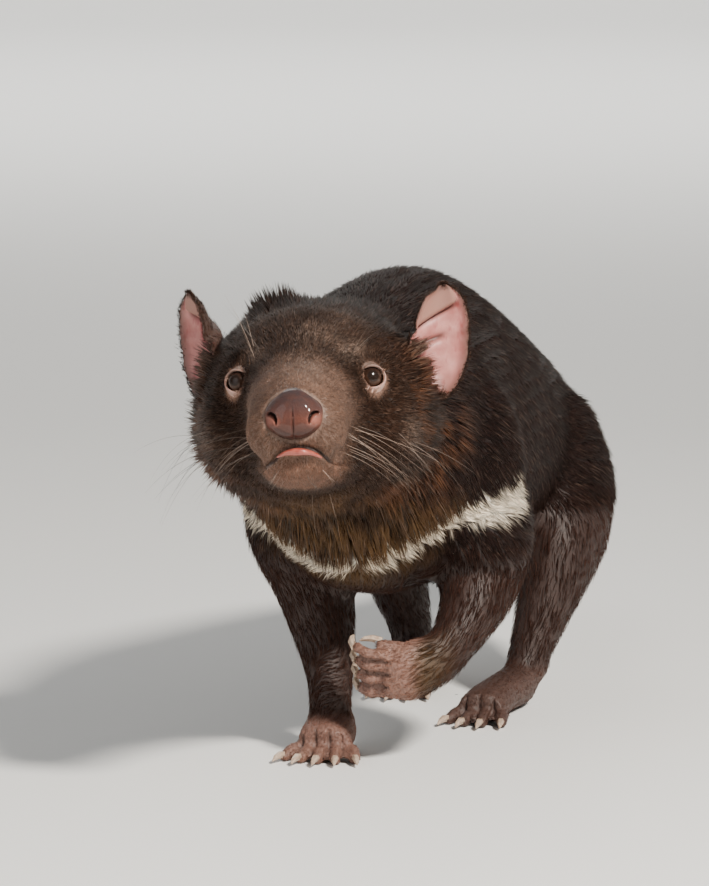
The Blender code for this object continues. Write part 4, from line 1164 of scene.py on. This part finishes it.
# Depth of the bowl in millimetres, cup * (1 - across^2), with its grooves, ridges, lobe and folds; also how
# deep in a groove each place is, with 2 more on the lobe.
def earDepth(across, up):
    bowl = earLook["cup"] * (1 - across**2) * np.sin(math.pi * (0.12 + 0.88 * up)) ** 0.7
    groove = np.zeros_like(up)
    for height, slope, fine, start, end in earGrooves:
        held = ramp(end + 0.25, end, across) * ramp(start - 0.25, start, across)
        groove = np.maximum(groove, slantBell(across, up, height, slope, fine) * held)
    lobe = ramp(0.0, 0.030, up - 0.725 - 0.16 * across) * ramp(0.95, 0.6, across)
    ridges = 0
    for deep, height, slope, fine, fading in earRidges:
        ridges = ridges + deep * slantBell(across, up, height, slope, fine) * ramp(*fading, across)
    swell = 0.9 * np.sin(up * 9 + across * 2.0) * (1 - across**2) * 0.5
    outerRim = 1.3 * ramp(0.80, 1.0, across) * ramp(0.05, 0.3, up)
    ripple = 0.35 * np.sin(up * 26 + 1.0) * np.abs(across) ** 4
    fold = 1.6 * slantBell(across, up, 0.18, -0.10, 0.05) * ramp(0.9, 0.3, np.abs(across))
    depth = bowl - 3.0 * ridges + 1.2 * swell - 0.8 * outerRim + ripple - fold + 2.4 * groove - 2.2 * lobe
    return depth, groove + 2.0 * (lobe > 0.5) * (groove < 0.3)


# Mid-surface of an ear from its share across (-1 inner edge to 1 outer edge) and its share of the height,
# with its front rim rolled inwards.
def earBlade(side, across, up):
    look, sign = earLook[side], 1 if side == "left" else -1
    turn, lean = math.radians(look["turn"]), math.radians(earLook["lean"])
    rising = np.array((math.sin(lean) * sign, 0, math.cos(lean)))
    sideways = np.array((math.cos(turn) * sign, math.sin(turn), 0))
    behind = np.cross(rising, sideways) * sign
    depth, hollow = earDepth(across, up)
    frontRim = 3.0 * ramp(-0.55, -1.0, across) * ramp(0.15, 0.5, up) * ramp(1.0, 0.75, up)
    inwardRoll = np.where(across < 0, frontRim, 0)
    place = (np.array(look["foot"]) + up[..., None] * earLook["height"] * rising
             + (across * earWidth(across, up) + 0.55 * inwardRoll)[..., None] * sideways
             + (depth - 0.8 * inwardRoll)[..., None] * behind)
    return place, behind, hollow


# Thin skin: pink and veined inside, dusky at its rim and back, with light passing through.
def earMaterial():
    made, tree, shader = newMaterial("earSkin", Roughness=0.48, Subsurface_Weight=0.22,
                                     Subsurface_Radius=(0.006, 0.002, 0.0015), Subsurface_Scale=0.5)
    inner, rim, height = parts(tree, attribute(tree, "ear"))
    hollow = attribute(tree, "hollow", "Fac")
    place = objectPlace(tree)
    cloud, vein = noise(tree, place, *earGrain["cloud"]), noise(tree, place, *earGrain["vein"])
    lobed, shade = spread(tree, hollow, *earGrain["lobe"]), spread(tree, hollow, *earGrain["shade"])
    shaded = calc(tree, "MULTIPLY", shade, calc(tree, "SUBTRACT", 1.0, lobed))
    pink = layered(tree, earColours["pink"], (cloud, *earGrain["pale"], earColours["palePink"]),
                   (vein, *earGrain["veinShown"], earColours["vein"]))
    pink = mixColour(tree, lobed, pink, earColours["lobe"])
    pink = mixColour(tree, shaded, pink, earColours["shade"])
    pink = layered(tree, pink, (height, *earGrain["foot"], earColours["foot"]),
                   (rim, *earGrain["rim"], earColours["rim"]))
    dusky = mixColour(tree, cloud, earColours["dark"], earColours["dusky"])
    tree.links.new(mixColour(tree, inner, dusky, pink), shader.inputs["Base Color"])
    clouded = calc(tree, "MULTIPLY", cloud, earGrain["cloudBump"])
    bumpFrom(tree, shader, calc(tree, "ADD", vein, clouded), *earGrain["bump"])
    return made


earSheets = {}


# Two sheets a skin's thickness apart, thinner at the rim, sewn together all round.
def makeEar(side, material):
    rows, columns = earLook["rows"], earLook["columns"]
    across, up = np.meshgrid(np.sin(np.linspace(-1, 1, columns) * math.pi / 2),
                             (1 - np.cos(np.linspace(0, math.pi, rows))) / 2)
    middle, behind, hollow = earBlade(side, across, up)
    rise, run = np.gradient(middle, axis=0), np.gradient(middle, axis=1)
    normal = unit(np.cross(run, rise))
    normal = normal * np.sign(-(normal @ behind))[..., None]
    half = earLook["thick"] / 2 * (0.35 + 0.65 * np.clip((1 - across**2) * 2.0, 0, 1))
    half = half * (0.5 + 0.5 * ramp(1.0, 0.9, up))
    inner, outer = middle + normal * half[..., None], middle - normal * half[..., None]
    grid = np.arange(rows * columns).reshape(rows, columns)
    first = gridFaces(rows, columns)
    second = first[:, ::-1] + rows * columns
    rim = np.concatenate((grid[0], grid[1:, -1], grid[-1, -2::-1], grid[-2:0:-1, 0]))
    nextRim = np.roll(rim, -1)
    sides = np.column_stack((rim, nextRim, nextRim + rows * columns, rim + rows * columns))
    points = np.concatenate((inner.reshape(-1, 3), outer.reshape(-1, 3)))
    ear = meshFrom(side + "Ear", fromHead(points), np.concatenate((first, second, sides)))
    rimmed = np.maximum(np.abs(across), ramp(0.8, 1.0, up)).ravel()
    info = np.column_stack((np.concatenate((np.ones(rows * columns), np.zeros(rows * columns))),
                            np.tile(rimmed, 2), np.tile(up.ravel(), 2)))
    putAttribute(ear, "ear", info)
    putAttribute(ear, "hollow", np.tile(hollow.ravel(), 2))
    finishPiece(ear, material)
    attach(ear, "root")
    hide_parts(side + "_ear")
    earSheets[side] = (fromHead(inner.reshape(-1, 3)).reshape(rows, columns, 3),
                       fromHead(outer.reshape(-1, 3)).reshape(rows, columns, 3),
                       unit(normal @ headTurn.T), across, up)


earSkin = earMaterial()
makeEar("left", earSkin)
makeEar("right", earSkin)
print("ears are set")

# Whiskers: root in the head's frame (of the left side, mirrored on the right), spread of the roots, heading,
# bend, length in millimetres, number, side and paleness.
whiskerGroups = [
    ((25, -24, -31), (5, 14, 7), (1.0, 0.25, -0.48), (-0.2, 0.5, -0.45), 46, 14, 1, 0.55),
    ((26, -20, -31), (5, 14, 7), (1.0, 0.15, -0.22), (-0.2, 0.3, -0.75), 40, 13, -1, 0.55),
    ((50, 6, -32), (4, 8, 6), (0.9, 0.05, -0.45), (-0.3, 0.35, -0.7), 34, 7, 1, 0.45),
    ((50, 0, -32), (4, 9, 8), (1.0, -0.15, 0.02), (-0.25, 0.2, -1.1), 40, 14, -1, 0.0),
    ((24, -12, 15), (3, 4, 2), (0.3, 0.15, 1.0), (0.15, 0.5, -0.15), 36, 5, -1, 0.55),
    ((26, -10, 15), (3, 4, 2), (0.45, 0.25, 0.9), (0.15, 0.5, -0.2), 20, 3, 1, 0.3),
    ((9, -54, -46), (7, 7, 4), (0.5, 0.0, -1.0), (0.1, 0.4, 0.1), 9, 5, 1, 0.6),
    ((9, -54, -46), (7, 7, 4), (0.5, 0.0, -1.0), (0.1, 0.4, 0.1), 9, 5, -1, 0.6),
    ((4, 6, -60), (8, 8, 2), (0.2, -0.2, -1.0), (0.1, 0.3, 0.2), 22, 3, 1, 0.6),
]
whiskerLook = {"seed": 404, "thick": 0.135, "thinner": 0.88, "steps": 14, "spokes": 4, "widest": 0.0940,
               "sunk": 0.0008, "stray": 0.16, "bend": (0.5, 1.4), "long": (0.62, 1.18), "girth": (0.75, 1.15),
               "dark": (0.010, 0.007, 0.006), "light": (0.380, 0.270, 0.210)}


def whiskerMaterial():
    made, tree, shader = newMaterial("whisker", Roughness=0.35)
    colour = mixColour(tree, attribute(tree, "pale", "Fac"), whiskerLook["dark"], whiskerLook["light"])
    tree.links.new(colour, shader.inputs["Base Color"])
    return made


# Each whisker leaves along its heading and bends as the square of its share, as a thin tapered tube.
def makeWhiskers():
    look = whiskerLook
    draw = np.random.default_rng(look["seed"])
    steps, spokes = look["steps"], look["spokes"]
    allPoints, allFaces, allPale = [], [], []
    share = np.linspace(0, 1, steps)
    cosine, sine = np.cos(circle(spokes)), np.sin(circle(spokes))
    for at, over, to, bending, length, count, side, pale in whiskerGroups:
        mirror = np.array((side, 1, 1))
        for _ in range(count):
            start = fromHead((np.array(at) + draw.uniform(-1, 1, 3) * over) * mirror)
            root, normal, _, _ = skinTree.find_nearest(Vector(start))
            root, normal = np.array(root), np.array(normal)
            heading = unit(np.array(to) * mirror + look["stray"] * draw.normal(size=3)) @ headTurn.T
            heading = unit(heading + 0.35 * normal)
            bend = (np.array(bending) * mirror) @ headTurn.T * draw.uniform(*look["bend"])
            long = length / 1000 * draw.uniform(*look["long"])
            line = root + (share * long)[:, None] * heading + (share**2 * long * 0.5)[:, None] * bend
            line = line - heading * look["sunk"]
            line[:, 0] = np.clip(line[:, 0], -look["widest"], look["widest"])
            path = unit(np.gradient(line, axis=0))
            aside = unit(np.cross(path, (0.1, 0.2, 1.0)))
            other = np.cross(path, aside)
            radius = look["thick"] / 1000 * (1 - look["thinner"] * share) * draw.uniform(*look["girth"])
            ring = cosine[:, None] * aside[:, None] + sine[:, None] * other[:, None]
            allFaces.append(gridFaces(steps, spokes, wrap=True) + steps * spokes * len(allPoints))
            allPoints.append((line[:, None] + ring * radius[:, None, None]).reshape(-1, 3))
            allPale.append(np.full(steps * spokes, np.clip(pale + 0.25 * draw.normal(), 0, 1)))
    whiskers = meshFrom("whiskers", np.concatenate(allPoints), np.concatenate(allFaces))
    putAttribute(whiskers, "pale", np.concatenate(allPale))
    finishPiece(whiskers, whiskerMaterial())
    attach(whiskers, "root")


makeWhiskers()
print("whiskers are set")


# Claws
hornGrain = {"streak": (800.0, 3.0, (1.0, 0.2, 1.0)), "light": (0.25, 0.75), "bump": (0.3, 0.0003)}
hornColours = {"dark": (0.300, 0.195, 0.135), "light": (0.560, 0.440, 0.340)}


# Horn: pale at the tip, browner at the root, with long fine streaks.
def clawMaterial():
    made, tree, shader = newMaterial("horn", Roughness=0.34)
    streak = noise(tree, objectPlace(tree), *hornGrain["streak"])
    colour = layered(tree, hornColours["dark"], (streak, *hornGrain["light"], hornColours["light"]))
    tree.links.new(colour, shader.inputs["Base Color"])
    bumpFrom(tree, shader, streak, *hornGrain["bump"])
    return made


horn = clawMaterial()
for nodeName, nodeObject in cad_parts.items():
    if "claw" in nodeName:
        nodeObject.data.materials.clear()
        nodeObject.data.materials.append(horn)
        nodeObject.data.shade_smooth()


# The coat. The body's middle, where its rear begins and where the forelegs end, in metres.
bodyMarks = {"middle": 0.002, "rear": -0.06, "forelegs": -0.14}


# A slowly turning vector at each place: sums of sines of the place.
def smoothDrift(points, scale, seed):
    turns = np.random.default_rng(seed).normal(size=(4, 3, 3))
    drift = np.zeros_like(points)
    for index, turn in enumerate(turns):
        drift += np.sin(points @ turn * scale * (1 + 0.6 * index) + index * 1.7) / (1 + index)
    return drift * 0.5


# How hair lies: for the flow from the nose its start and stretch in the head's frame, in millimetres round
# the eye, in metres for breast and limbs, and the drift of the whole coat.
lieLook = {"nose": (0, -84, -6), "stretch": (0.8, 1.0, 0.75), "eye": (17, 9), "breastFront": (-0.19, -0.225),
           "breastTop": (0.155, 0.125), "breastDown": (0, 0.35, -1.0), "limb": (0.050, 0.036),
           "limbBack": (0, 0.12, 0), "drift": (60, 5)}


# Which way the coat lies: back from the nose, back and down the flanks, down each limb, along the tail.
def hairLie(points, normals, where):
    q = where["q"]
    flank = np.abs(normals[:, 0])
    lie = np.column_stack((np.zeros(len(points)), np.ones(len(points)), -0.20 - 0.75 * flank))
    fromNose = (q - lieLook["nose"]) * lieLook["stretch"]
    lie = toward(lie, unit(fromNose) @ headTurn.T, where["head"][:, None])
    sides = np.column_stack((np.sign(q[:, 0]), np.ones(len(q)), np.ones(len(q))))
    fromEye = q - sides * (headPose["eyesApart"] / 2, *headPose["eyeMiddle"][1:])
    around = ramp(*lieLook["eye"], np.linalg.norm(fromEye, axis=1)) * where["head"]
    lie = toward(lie, unit(fromEye) @ headTurn.T, (0.95 * around)[:, None])
    breast = ramp(*lieLook["breastFront"], points[:, 1]) * ramp(*lieLook["breastTop"], points[:, 2])
    breast = breast * (1 - where["head"])
    lie = toward(lie, np.array(lieLook["breastDown"]), (0.8 * breast)[:, None])
    outwards = 0.9 * np.sign(points[:, 0] - bodyMarks["middle"]) * where["blaze"]
    lie = lie + np.column_stack((outwards, 0 * flank, 0.35 * where["blaze"]))
    for name in limbs:
        far, _, heading, _ = where["reach"][name]
        near = ramp(*lieLook["limb"], far) * where["limb"]
        lie = toward(lie, unit(heading + lieLook["limbBack"]), near[:, None])
    _, _, heading, _ = alongPath(points, tailPath)
    lie = toward(lie, heading, where["tail"][:, None])
    lie = unit(lie) + smoothDrift(points, *lieLook["drift"]) * (0.10 + 0.16 * (1 - where["face"]))[:, None]
    return unit(lie - (lie * normals).sum(axis=1, keepdims=True) * normals)


# Length of a tuft in millimetres and its rise as a sine: the trunk's, what is added, what they turn into.
hairLength = {"trunk": 10.5, "behind": {"rump": 3.5, "tail": 3.0, "tailEnd": 5.0}, "head": 9.0,
              "upright": {"ruff": 9.0, "crown": 3.5},
              "short": {"face": 6.2, "limb": 7.4, "blaze": 8.0, "muzzle": 2.5}, "shortest": 2.2,
              "long": {"nape": 5.5, "earFront": 5.0}, "eye": (16, 10), "low": (0.060, 0.030)}
hairRise = {"trunk": 0.27, "added": {"rump": 0.13, "blaze": 0.08, "nape": 0.48, "earFront": 0.40,
                                     "ruff": 0.26, "crown": 0.18}, "face": 0.27, "muzzle": 0.30}
hairWidth = {"least": 0.26, "share": 0.021, "limb": 0.12, "muzzle": 0.20}


# Length and width of a tuft in millimetres, and how far it rises from the skin, as a sine.
def hairSize(where, points):
    length = added(hairLength["trunk"], hairLength["behind"], where)
    length = toward(length, hairLength["head"], where["head"])
    length = added(length, hairLength["upright"], where)
    for part, long in hairLength["short"].items():
        length = toward(length, long, where[part])
    length = toward(length, hairLength["shortest"], np.maximum(where["eyeRing"], where["paw"]))
    length = length * (1 - 0.5 * ramp(*hairLength["eye"], fromEyes(where["q"])) * where["head"])
    length = added(length, hairLength["long"], where)
    low = ramp(*hairLength["low"], points[:, 2]) * where["limb"]
    length = length * (1 - 0.3 * low)
    rise = added(hairRise["trunk"], hairRise["added"], where)
    rise = toward(rise, hairRise["face"], np.maximum(where["face"], where["paw"]))
    rise = toward(rise, hairRise["muzzle"], where["muzzle"])
    width = (hairWidth["least"] + hairWidth["share"] * length) * (1 - hairWidth["limb"] * where["limb"])
    return length, toward(width, hairWidth["muzzle"], where["muzzle"]), rise


# Where hair grows: millimetres from the eye, share of the nose's bed, and how much less on the paws.
growth = {"eye": (7.0, 8.6), "nose": (0.30, 0.05), "paw": 0.55}


# Which coat piece each place belongs to; a later rule overrides an earlier one.
def regionOf(where, points):
    x, y, _ = points.T
    left, rear = x > bodyMarks["middle"], y > bodyMarks["rear"]
    limb, head = where["limb"] > 0.5, where["head"] > 0.5
    rules = [
        ("RearLeft", left & rear), ("RearRight", ~left & rear), ("ShoulderLeft", left & ~rear),
        ("ShoulderRight", ~left & ~rear), ("Hindlegs", limb),
        ("Forelegs", limb & (y < bodyMarks["forelegs"])),
        ("HindlegLeft", limb & (y > bodyMarks["forelegs"]) & (x > 0)), ("Tail", where["tail"] > 0.5),
        ("HeadLeft", head & (where["q"][:, 0] >= 0)), ("HeadRight", head & (where["q"][:, 0] < 0)),
        ("Face", head & (where["face"] > 0.5)), ("Muzzle", head & (where["muzzle"] > 0.5)),
    ]
    label = np.full(len(points), "none", dtype=object)
    for region, held in rules:
        label[held] = region
    return label.astype(str)


# Tufts in each piece, and segments of a tuft.
coatPieces = {
    "Muzzle": (30000, 1), "Face": (31000, 2), "HeadLeft": (25000, 2), "HeadRight": (19000, 2),
    "ShoulderLeft": (30000, 2), "ShoulderRight": (20000, 2), "RearLeft": (25000, 2), "RearRight": (17000, 2),
    "Forelegs": (20000, 2), "HindlegLeft": (11000, 2), "Hindlegs": (10000, 2), "Tail": (12000, 2),
}
# Shares of a tuft's length at its middle ring, before its tip and under the skin; thickness by its width.
tuftShape = {"shortRing": -0.10, "ring": 0.30, "bend": 0.40, "droop": 0.50, "thick": 0.30, "root": 0.12,
             "under": 0.0002, "patch": 0.0014}


# Solid three-sided tufts. A short one is a tapered pyramid sunk in the skin. A longer one starts in a
# point under the skin, is widest at its middle ring and bends there towards its tip. All in metres.
def tuftMesh(name, roots, normals, lies, length, width, rise, segments, info, marks, patch):
    shape, count, long = tuftShape, len(roots), length[:, None]
    side = unit(np.cross(normals, lies))
    start = unit(lies * np.sqrt(1 - np.clip(rise, 0, 0.98) ** 2)[:, None] + normals * rise[:, None])
    droop = unit(start - normals * (shape["droop"] * rise)[:, None])
    centre = roots + start * (shape["shortRing" if segments == 1 else "ring"] * long)
    across, thick = side * (width / 2)[:, None], normals * (shape["thick"] * width)[:, None]
    corners = [centre - across - thick * 0.5, centre + across - thick * 0.5, centre + thick]
    corners.append(roots + start * (shape["bend"] * long) + droop * ((1 - shape["bend"]) * long))
    pattern = [(0, 1, 3), (1, 2, 3), (2, 0, 3)]
    tipward = [0.35, 0.35, 0.35, 1.0]
    if segments == 1:
        pattern.append((0, 2, 1))
        tipward = [0, 0, 0, 1.0]
    else:
        corners.append(roots - start * (shape["root"] * long) - normals * shape["under"])
        pattern += [(1, 0, 4), (2, 1, 4), (0, 2, 4)]
        tipward.append(0.0)
    per = len(corners)
    points = np.stack(corners, axis=1).reshape(-1, 3)
    faces = (np.arange(count)[:, None, None] * per + np.array(pattern)[None]).reshape(-1, 3)
    obj = meshFrom(name, points, faces)
    putAttribute(obj, "tuftInfo", np.column_stack((np.tile(tipward, count), np.repeat(info, per, axis=0))))
    for markName, values in marks.items():
        putAttribute(obj, markName, np.repeat(values, per, axis=0))
    turns = np.arange(per) * 2 * math.pi / per
    spots = np.array([(math.cos(angle), math.sin(angle)) for angle in turns]) * shape["patch"]
    corner = np.array(pattern).ravel()
    places = (patch[:, None, :] + spots[corner][None]).reshape(-1, 2)
    layer = obj.data.uv_layers.new(name="OFBake")
    layer.data.foreach_set("uv", np.clip(places, 0.001, 0.999).astype(np.float32).ravel())
    return obj


# Round the piece's own axis: share of its length one way, angle about it the other, from 0.02 to 0.98.
def unwrapOf(points, region):
    if region in ("Muzzle", "Face", "HeadLeft", "HeadRight"):
        q = toHead(points)
        along, angle = q[:, 1], np.arctan2(q[:, 0], q[:, 2] + 18)
    elif region == "Tail":
        _, along, _, away = alongPath(points, tailPath)
        angle = np.arctan2(away[:, 0], away[:, 2])
    elif region in ("Forelegs", "Hindlegs", "HindlegLeft"):
        names = {"Forelegs": ("leftFore", "rightFore"), "Hindlegs": ("leftHind", "rightHind"),
                 "HindlegLeft": ("leftHind", "leftHind")}[region]
        first, second = alongPath(points, limbs[names[0]]), alongPath(points, limbs[names[1]])
        nearFirst = first[0] <= second[0]
        away = np.where(nearFirst[:, None], first[3], second[3])
        along = np.where(nearFirst, first[1], second[1] + 1.1)
        angle = np.arctan2(away[:, 0], away[:, 1])
    else:
        along, angle = points[:, 1], np.arctan2(points[:, 0] - bodyMarks["middle"], points[:, 2] - 0.145)
    spanned = (along - along.min()) / max(np.ptp(along), 1e-9)
    turned = (angle - angle.min()) / max(np.ptp(angle), 1e-9)
    return np.column_stack((spanned, turned)) * 0.96 + 0.02


# Pulls the tips of one small cell of the coat part way to their mean, so that the hair parts in tufts.
# Gives each root its way to its tip, and one random number that its whole cell shares.
def gatherTips(roots, tips, cell, strength):
    keys = np.floor(roots / cell + 0.3 * np.sin(roots[:, ::-1] / cell * 1.7)).astype(np.int64)
    _, index = np.unique(keys, axis=0, return_inverse=True)
    index = index.ravel()
    sizes = np.bincount(index)
    mean = np.column_stack([np.bincount(index, tips[:, axis]) / sizes for axis in range(3)])[index]
    return tips - roots + (mean - tips) * strength[:, None], chance.random(len(sizes))[index]


# Spread of the draws: of the lie, of length, width and rise as shares, and of the painted highlight on tuft
# tips. Cells of hair that leans together in metres, small and broad.
coatLook = {"lie": 0.15, "long": (0.70, 1.24), "wide": (0.7, 1.25), "rise": (0.5, 1.4), "held": (0.05, 0.95),
            "cells": (0.0042, 0.0100), "gather": 0.55, "paintedGlint": (0.15, 0.85), "dull": 0.90}


# One piece of coat from its roots: lengths, slants and tips are drawn round the place's own values.
def coatPiece(name, roots, normals, lies, here, segments, patch):
    look, count = coatLook, len(roots)
    lies = unit(lies + look["lie"] * chance.normal(size=roots.shape))
    lies = unit(lies - (lies * normals).sum(axis=1, keepdims=True) * normals)
    long, wide, rise = hairSize(here, roots)
    long = long / 1000 * chance.uniform(*look["long"], count)
    wide = wide / 1000 * chance.uniform(*look["wide"], count)
    rise = np.clip(rise * chance.uniform(*look["rise"], count), *look["held"])
    tips = roots + lies * long[:, None]
    strength = look["gather"] * (1 - 0.35 * here["face"]) * (1 - here["muzzle"])
    reach, shared = gatherTips(roots, tips, look["cells"][0], strength)
    loose = 0.8 * strength * (1 - here["face"]) * (1 - 0.5 * here["limb"])
    reach, broad = gatherTips(roots, roots + reach, look["cells"][1], loose)
    lies = unit(reach - (reach * normals).sum(axis=1, keepdims=True) * normals)
    # Painted highlight: a few random tufts get a pale tip; none on the blaze or nape, weaker on muzzle and
    # limbs.
    shining = chance.random(count) > look["dull"] - 0.08 * here["head"] - 0.05 * here["limb"]
    paintedGlint = shining * chance.uniform(*look["paintedGlint"], count) * (1 - here["blaze"]) * (1 - 0.7 * here["muzzle"])
    paintedGlint = paintedGlint * (1 - 0.65 * here["limb"]) * (1 - here["nape"])
    strand = 0.45 * chance.random(count) + 0.30 * shared + 0.25 * broad
    strand = strand + (0.48 - strand) * 0.45 * here["limb"]
    info = np.column_stack((strand, paintedGlint))
    obj = tuftMesh("coat" + name, roots, normals, lies, long, wide, rise, segments, info,
                   markingRows(here), patch)
    obj.data.materials.append(coatHair)
    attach(obj, "root")
    return len(obj.data.polygons)


# Roots are strewn over the skin's triangles by area over the size of a tuft: none on the lids, under the
# nose pad or between the lips, and fewer on the paws.
def growCoat():
    sides = skinPoints[skinTriangles]
    centre = sides.mean(axis=1)
    where = whereIs(centre)
    label = regionOf(where, centre)
    area = np.linalg.norm(np.cross(sides[:, 1] - sides[:, 0], sides[:, 2] - sides[:, 0]), axis=1) / 2
    length, width, _ = hairSize(where, centre)
    grows = ramp(*growth["eye"], fromEyes(where["q"])) * ramp(*growth["nose"], underNose(where["q"]))
    grows = grows * (1 - growth["paw"] * where["paw"]) * (1 - where["mouth"])
    density = area * grows / (length * width)
    total = 0
    for region, (count, segments) in coatPieces.items():
        chosen = np.flatnonzero(label == region)
        weight = density[chosen] / density[chosen].sum()
        picked = chosen[chance.choice(len(chosen), size=count, p=weight)]
        first, second = chance.random(count), chance.random(count)
        flip = first + second > 1
        first, second = np.where(flip, 1 - first, first), np.where(flip, 1 - second, second)
        share = np.column_stack((1 - first - second, first, second))
        trio = skinTriangles[picked]
        roots = np.einsum("nk,nkd->nd", share, skinPoints[trio])
        normals = unit(np.einsum("nk,nkd->nd", share, skinNormals[trio]))
        here = whereIs(roots)
        lies = hairLie(roots, normals, here)
        total += coatPiece(region, roots, normals, lies, here, segments, unwrapOf(roots, region))
    print("coat:", total, "triangles")


# Hair of an ear: number of tufts, lean away from its middle line and length in millimetres; then the width
# in metres, how far the draws spread, and the rows and columns of the ear that carry rim and foot.
earHair = {"back": (3400, 0.25, 3.4), "rim": (800, 1.2, 2.0), "foot": (900, -0.3, 5.5), "width": 0.00030,
           "rise": (0.15, 0.5), "drift": 0.0006, "lie": 0.22, "long": (0.6, 1.3), "rimFrom": 6,
           "footRows": 10, "rimColumns": 3}


# Short and dark on the ear's back, a fringe round its rim, and a longer tuft over its foot.
def growEarHair(side):
    inner, outer, normal, across, up = earSheets[side]
    rows, columns = across.shape
    back, rim, foot = earHair["back"][0], earHair["rim"][0], earHair["foot"][0]
    rising = unit(np.gradient(inner, axis=0))
    outward = unit(np.gradient(inner, axis=1)) * np.sign(across + 1e-9)[..., None]
    backCells = chance.integers(1, rows - 1, back), chance.integers(0, columns, back)
    wide = earHair["rimColumns"]
    edge = chance.integers(0, 2, rim) * (columns - wide) + chance.integers(0, wide, rim)
    rimCells = chance.integers(earHair["rimFrom"], rows, rim), edge
    footCells = chance.integers(0, earHair["footRows"], foot), chance.integers(0, columns, foot)
    found = []
    for name, (row, column), sheet, facing in (("back", backCells, outer, -1), ("rim", rimCells, inner, 1),
                                               ("foot", footCells, inner, 1)):
        count, aside, long = earHair[name]
        drift = earHair["drift"] * chance.normal(size=(count, 3))
        facingOut = normal[row, column] * facing
        drift = drift - (drift * facingOut).sum(axis=1, keepdims=True) * facingOut
        lies = unit(rising[row, column] + aside * outward[row, column])
        found.append((sheet[row, column] + drift, facingOut, lies, np.full(count, long), across[row, column],
                      up[row, column]))
    roots, normals, lies, long, shareAcross, shareUp = [np.concatenate(values) for values in zip(*found)]
    count = len(roots)
    lies = unit(lies + earHair["lie"] * chance.normal(size=roots.shape))
    long = long / 1000 * chance.uniform(*earHair["long"], count) * (1 - 0.35 * shareUp)
    here = {name: np.zeros(count) for names in markings.values() for name in names}
    here["head"] = here["head"] + 1.0
    here["crown"] = here["crown"] + 0.8
    # Strand tone, and on a few tufts a painted highlight at the tip.
    info = np.column_stack((chance.random(count), (chance.random(count) > 0.93) * 0.5))
    patch = np.column_stack((shareAcross * 0.48 + 0.5, shareUp * 0.96 + 0.02))
    wide, rise = np.full(count, earHair["width"]), chance.uniform(*earHair["rise"], count)
    obj = tuftMesh("coat" + side.capitalize() + "Ear", roots, normals, lies, long, wide, rise, 2, info,
                   markingRows(here), patch)
    obj.data.materials.append(coatHair)
    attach(obj, "root")
    print("hair of the", side, "ear:", len(obj.data.polygons), "triangles")


growCoat()
growEarHair("left")
growEarHair("right")
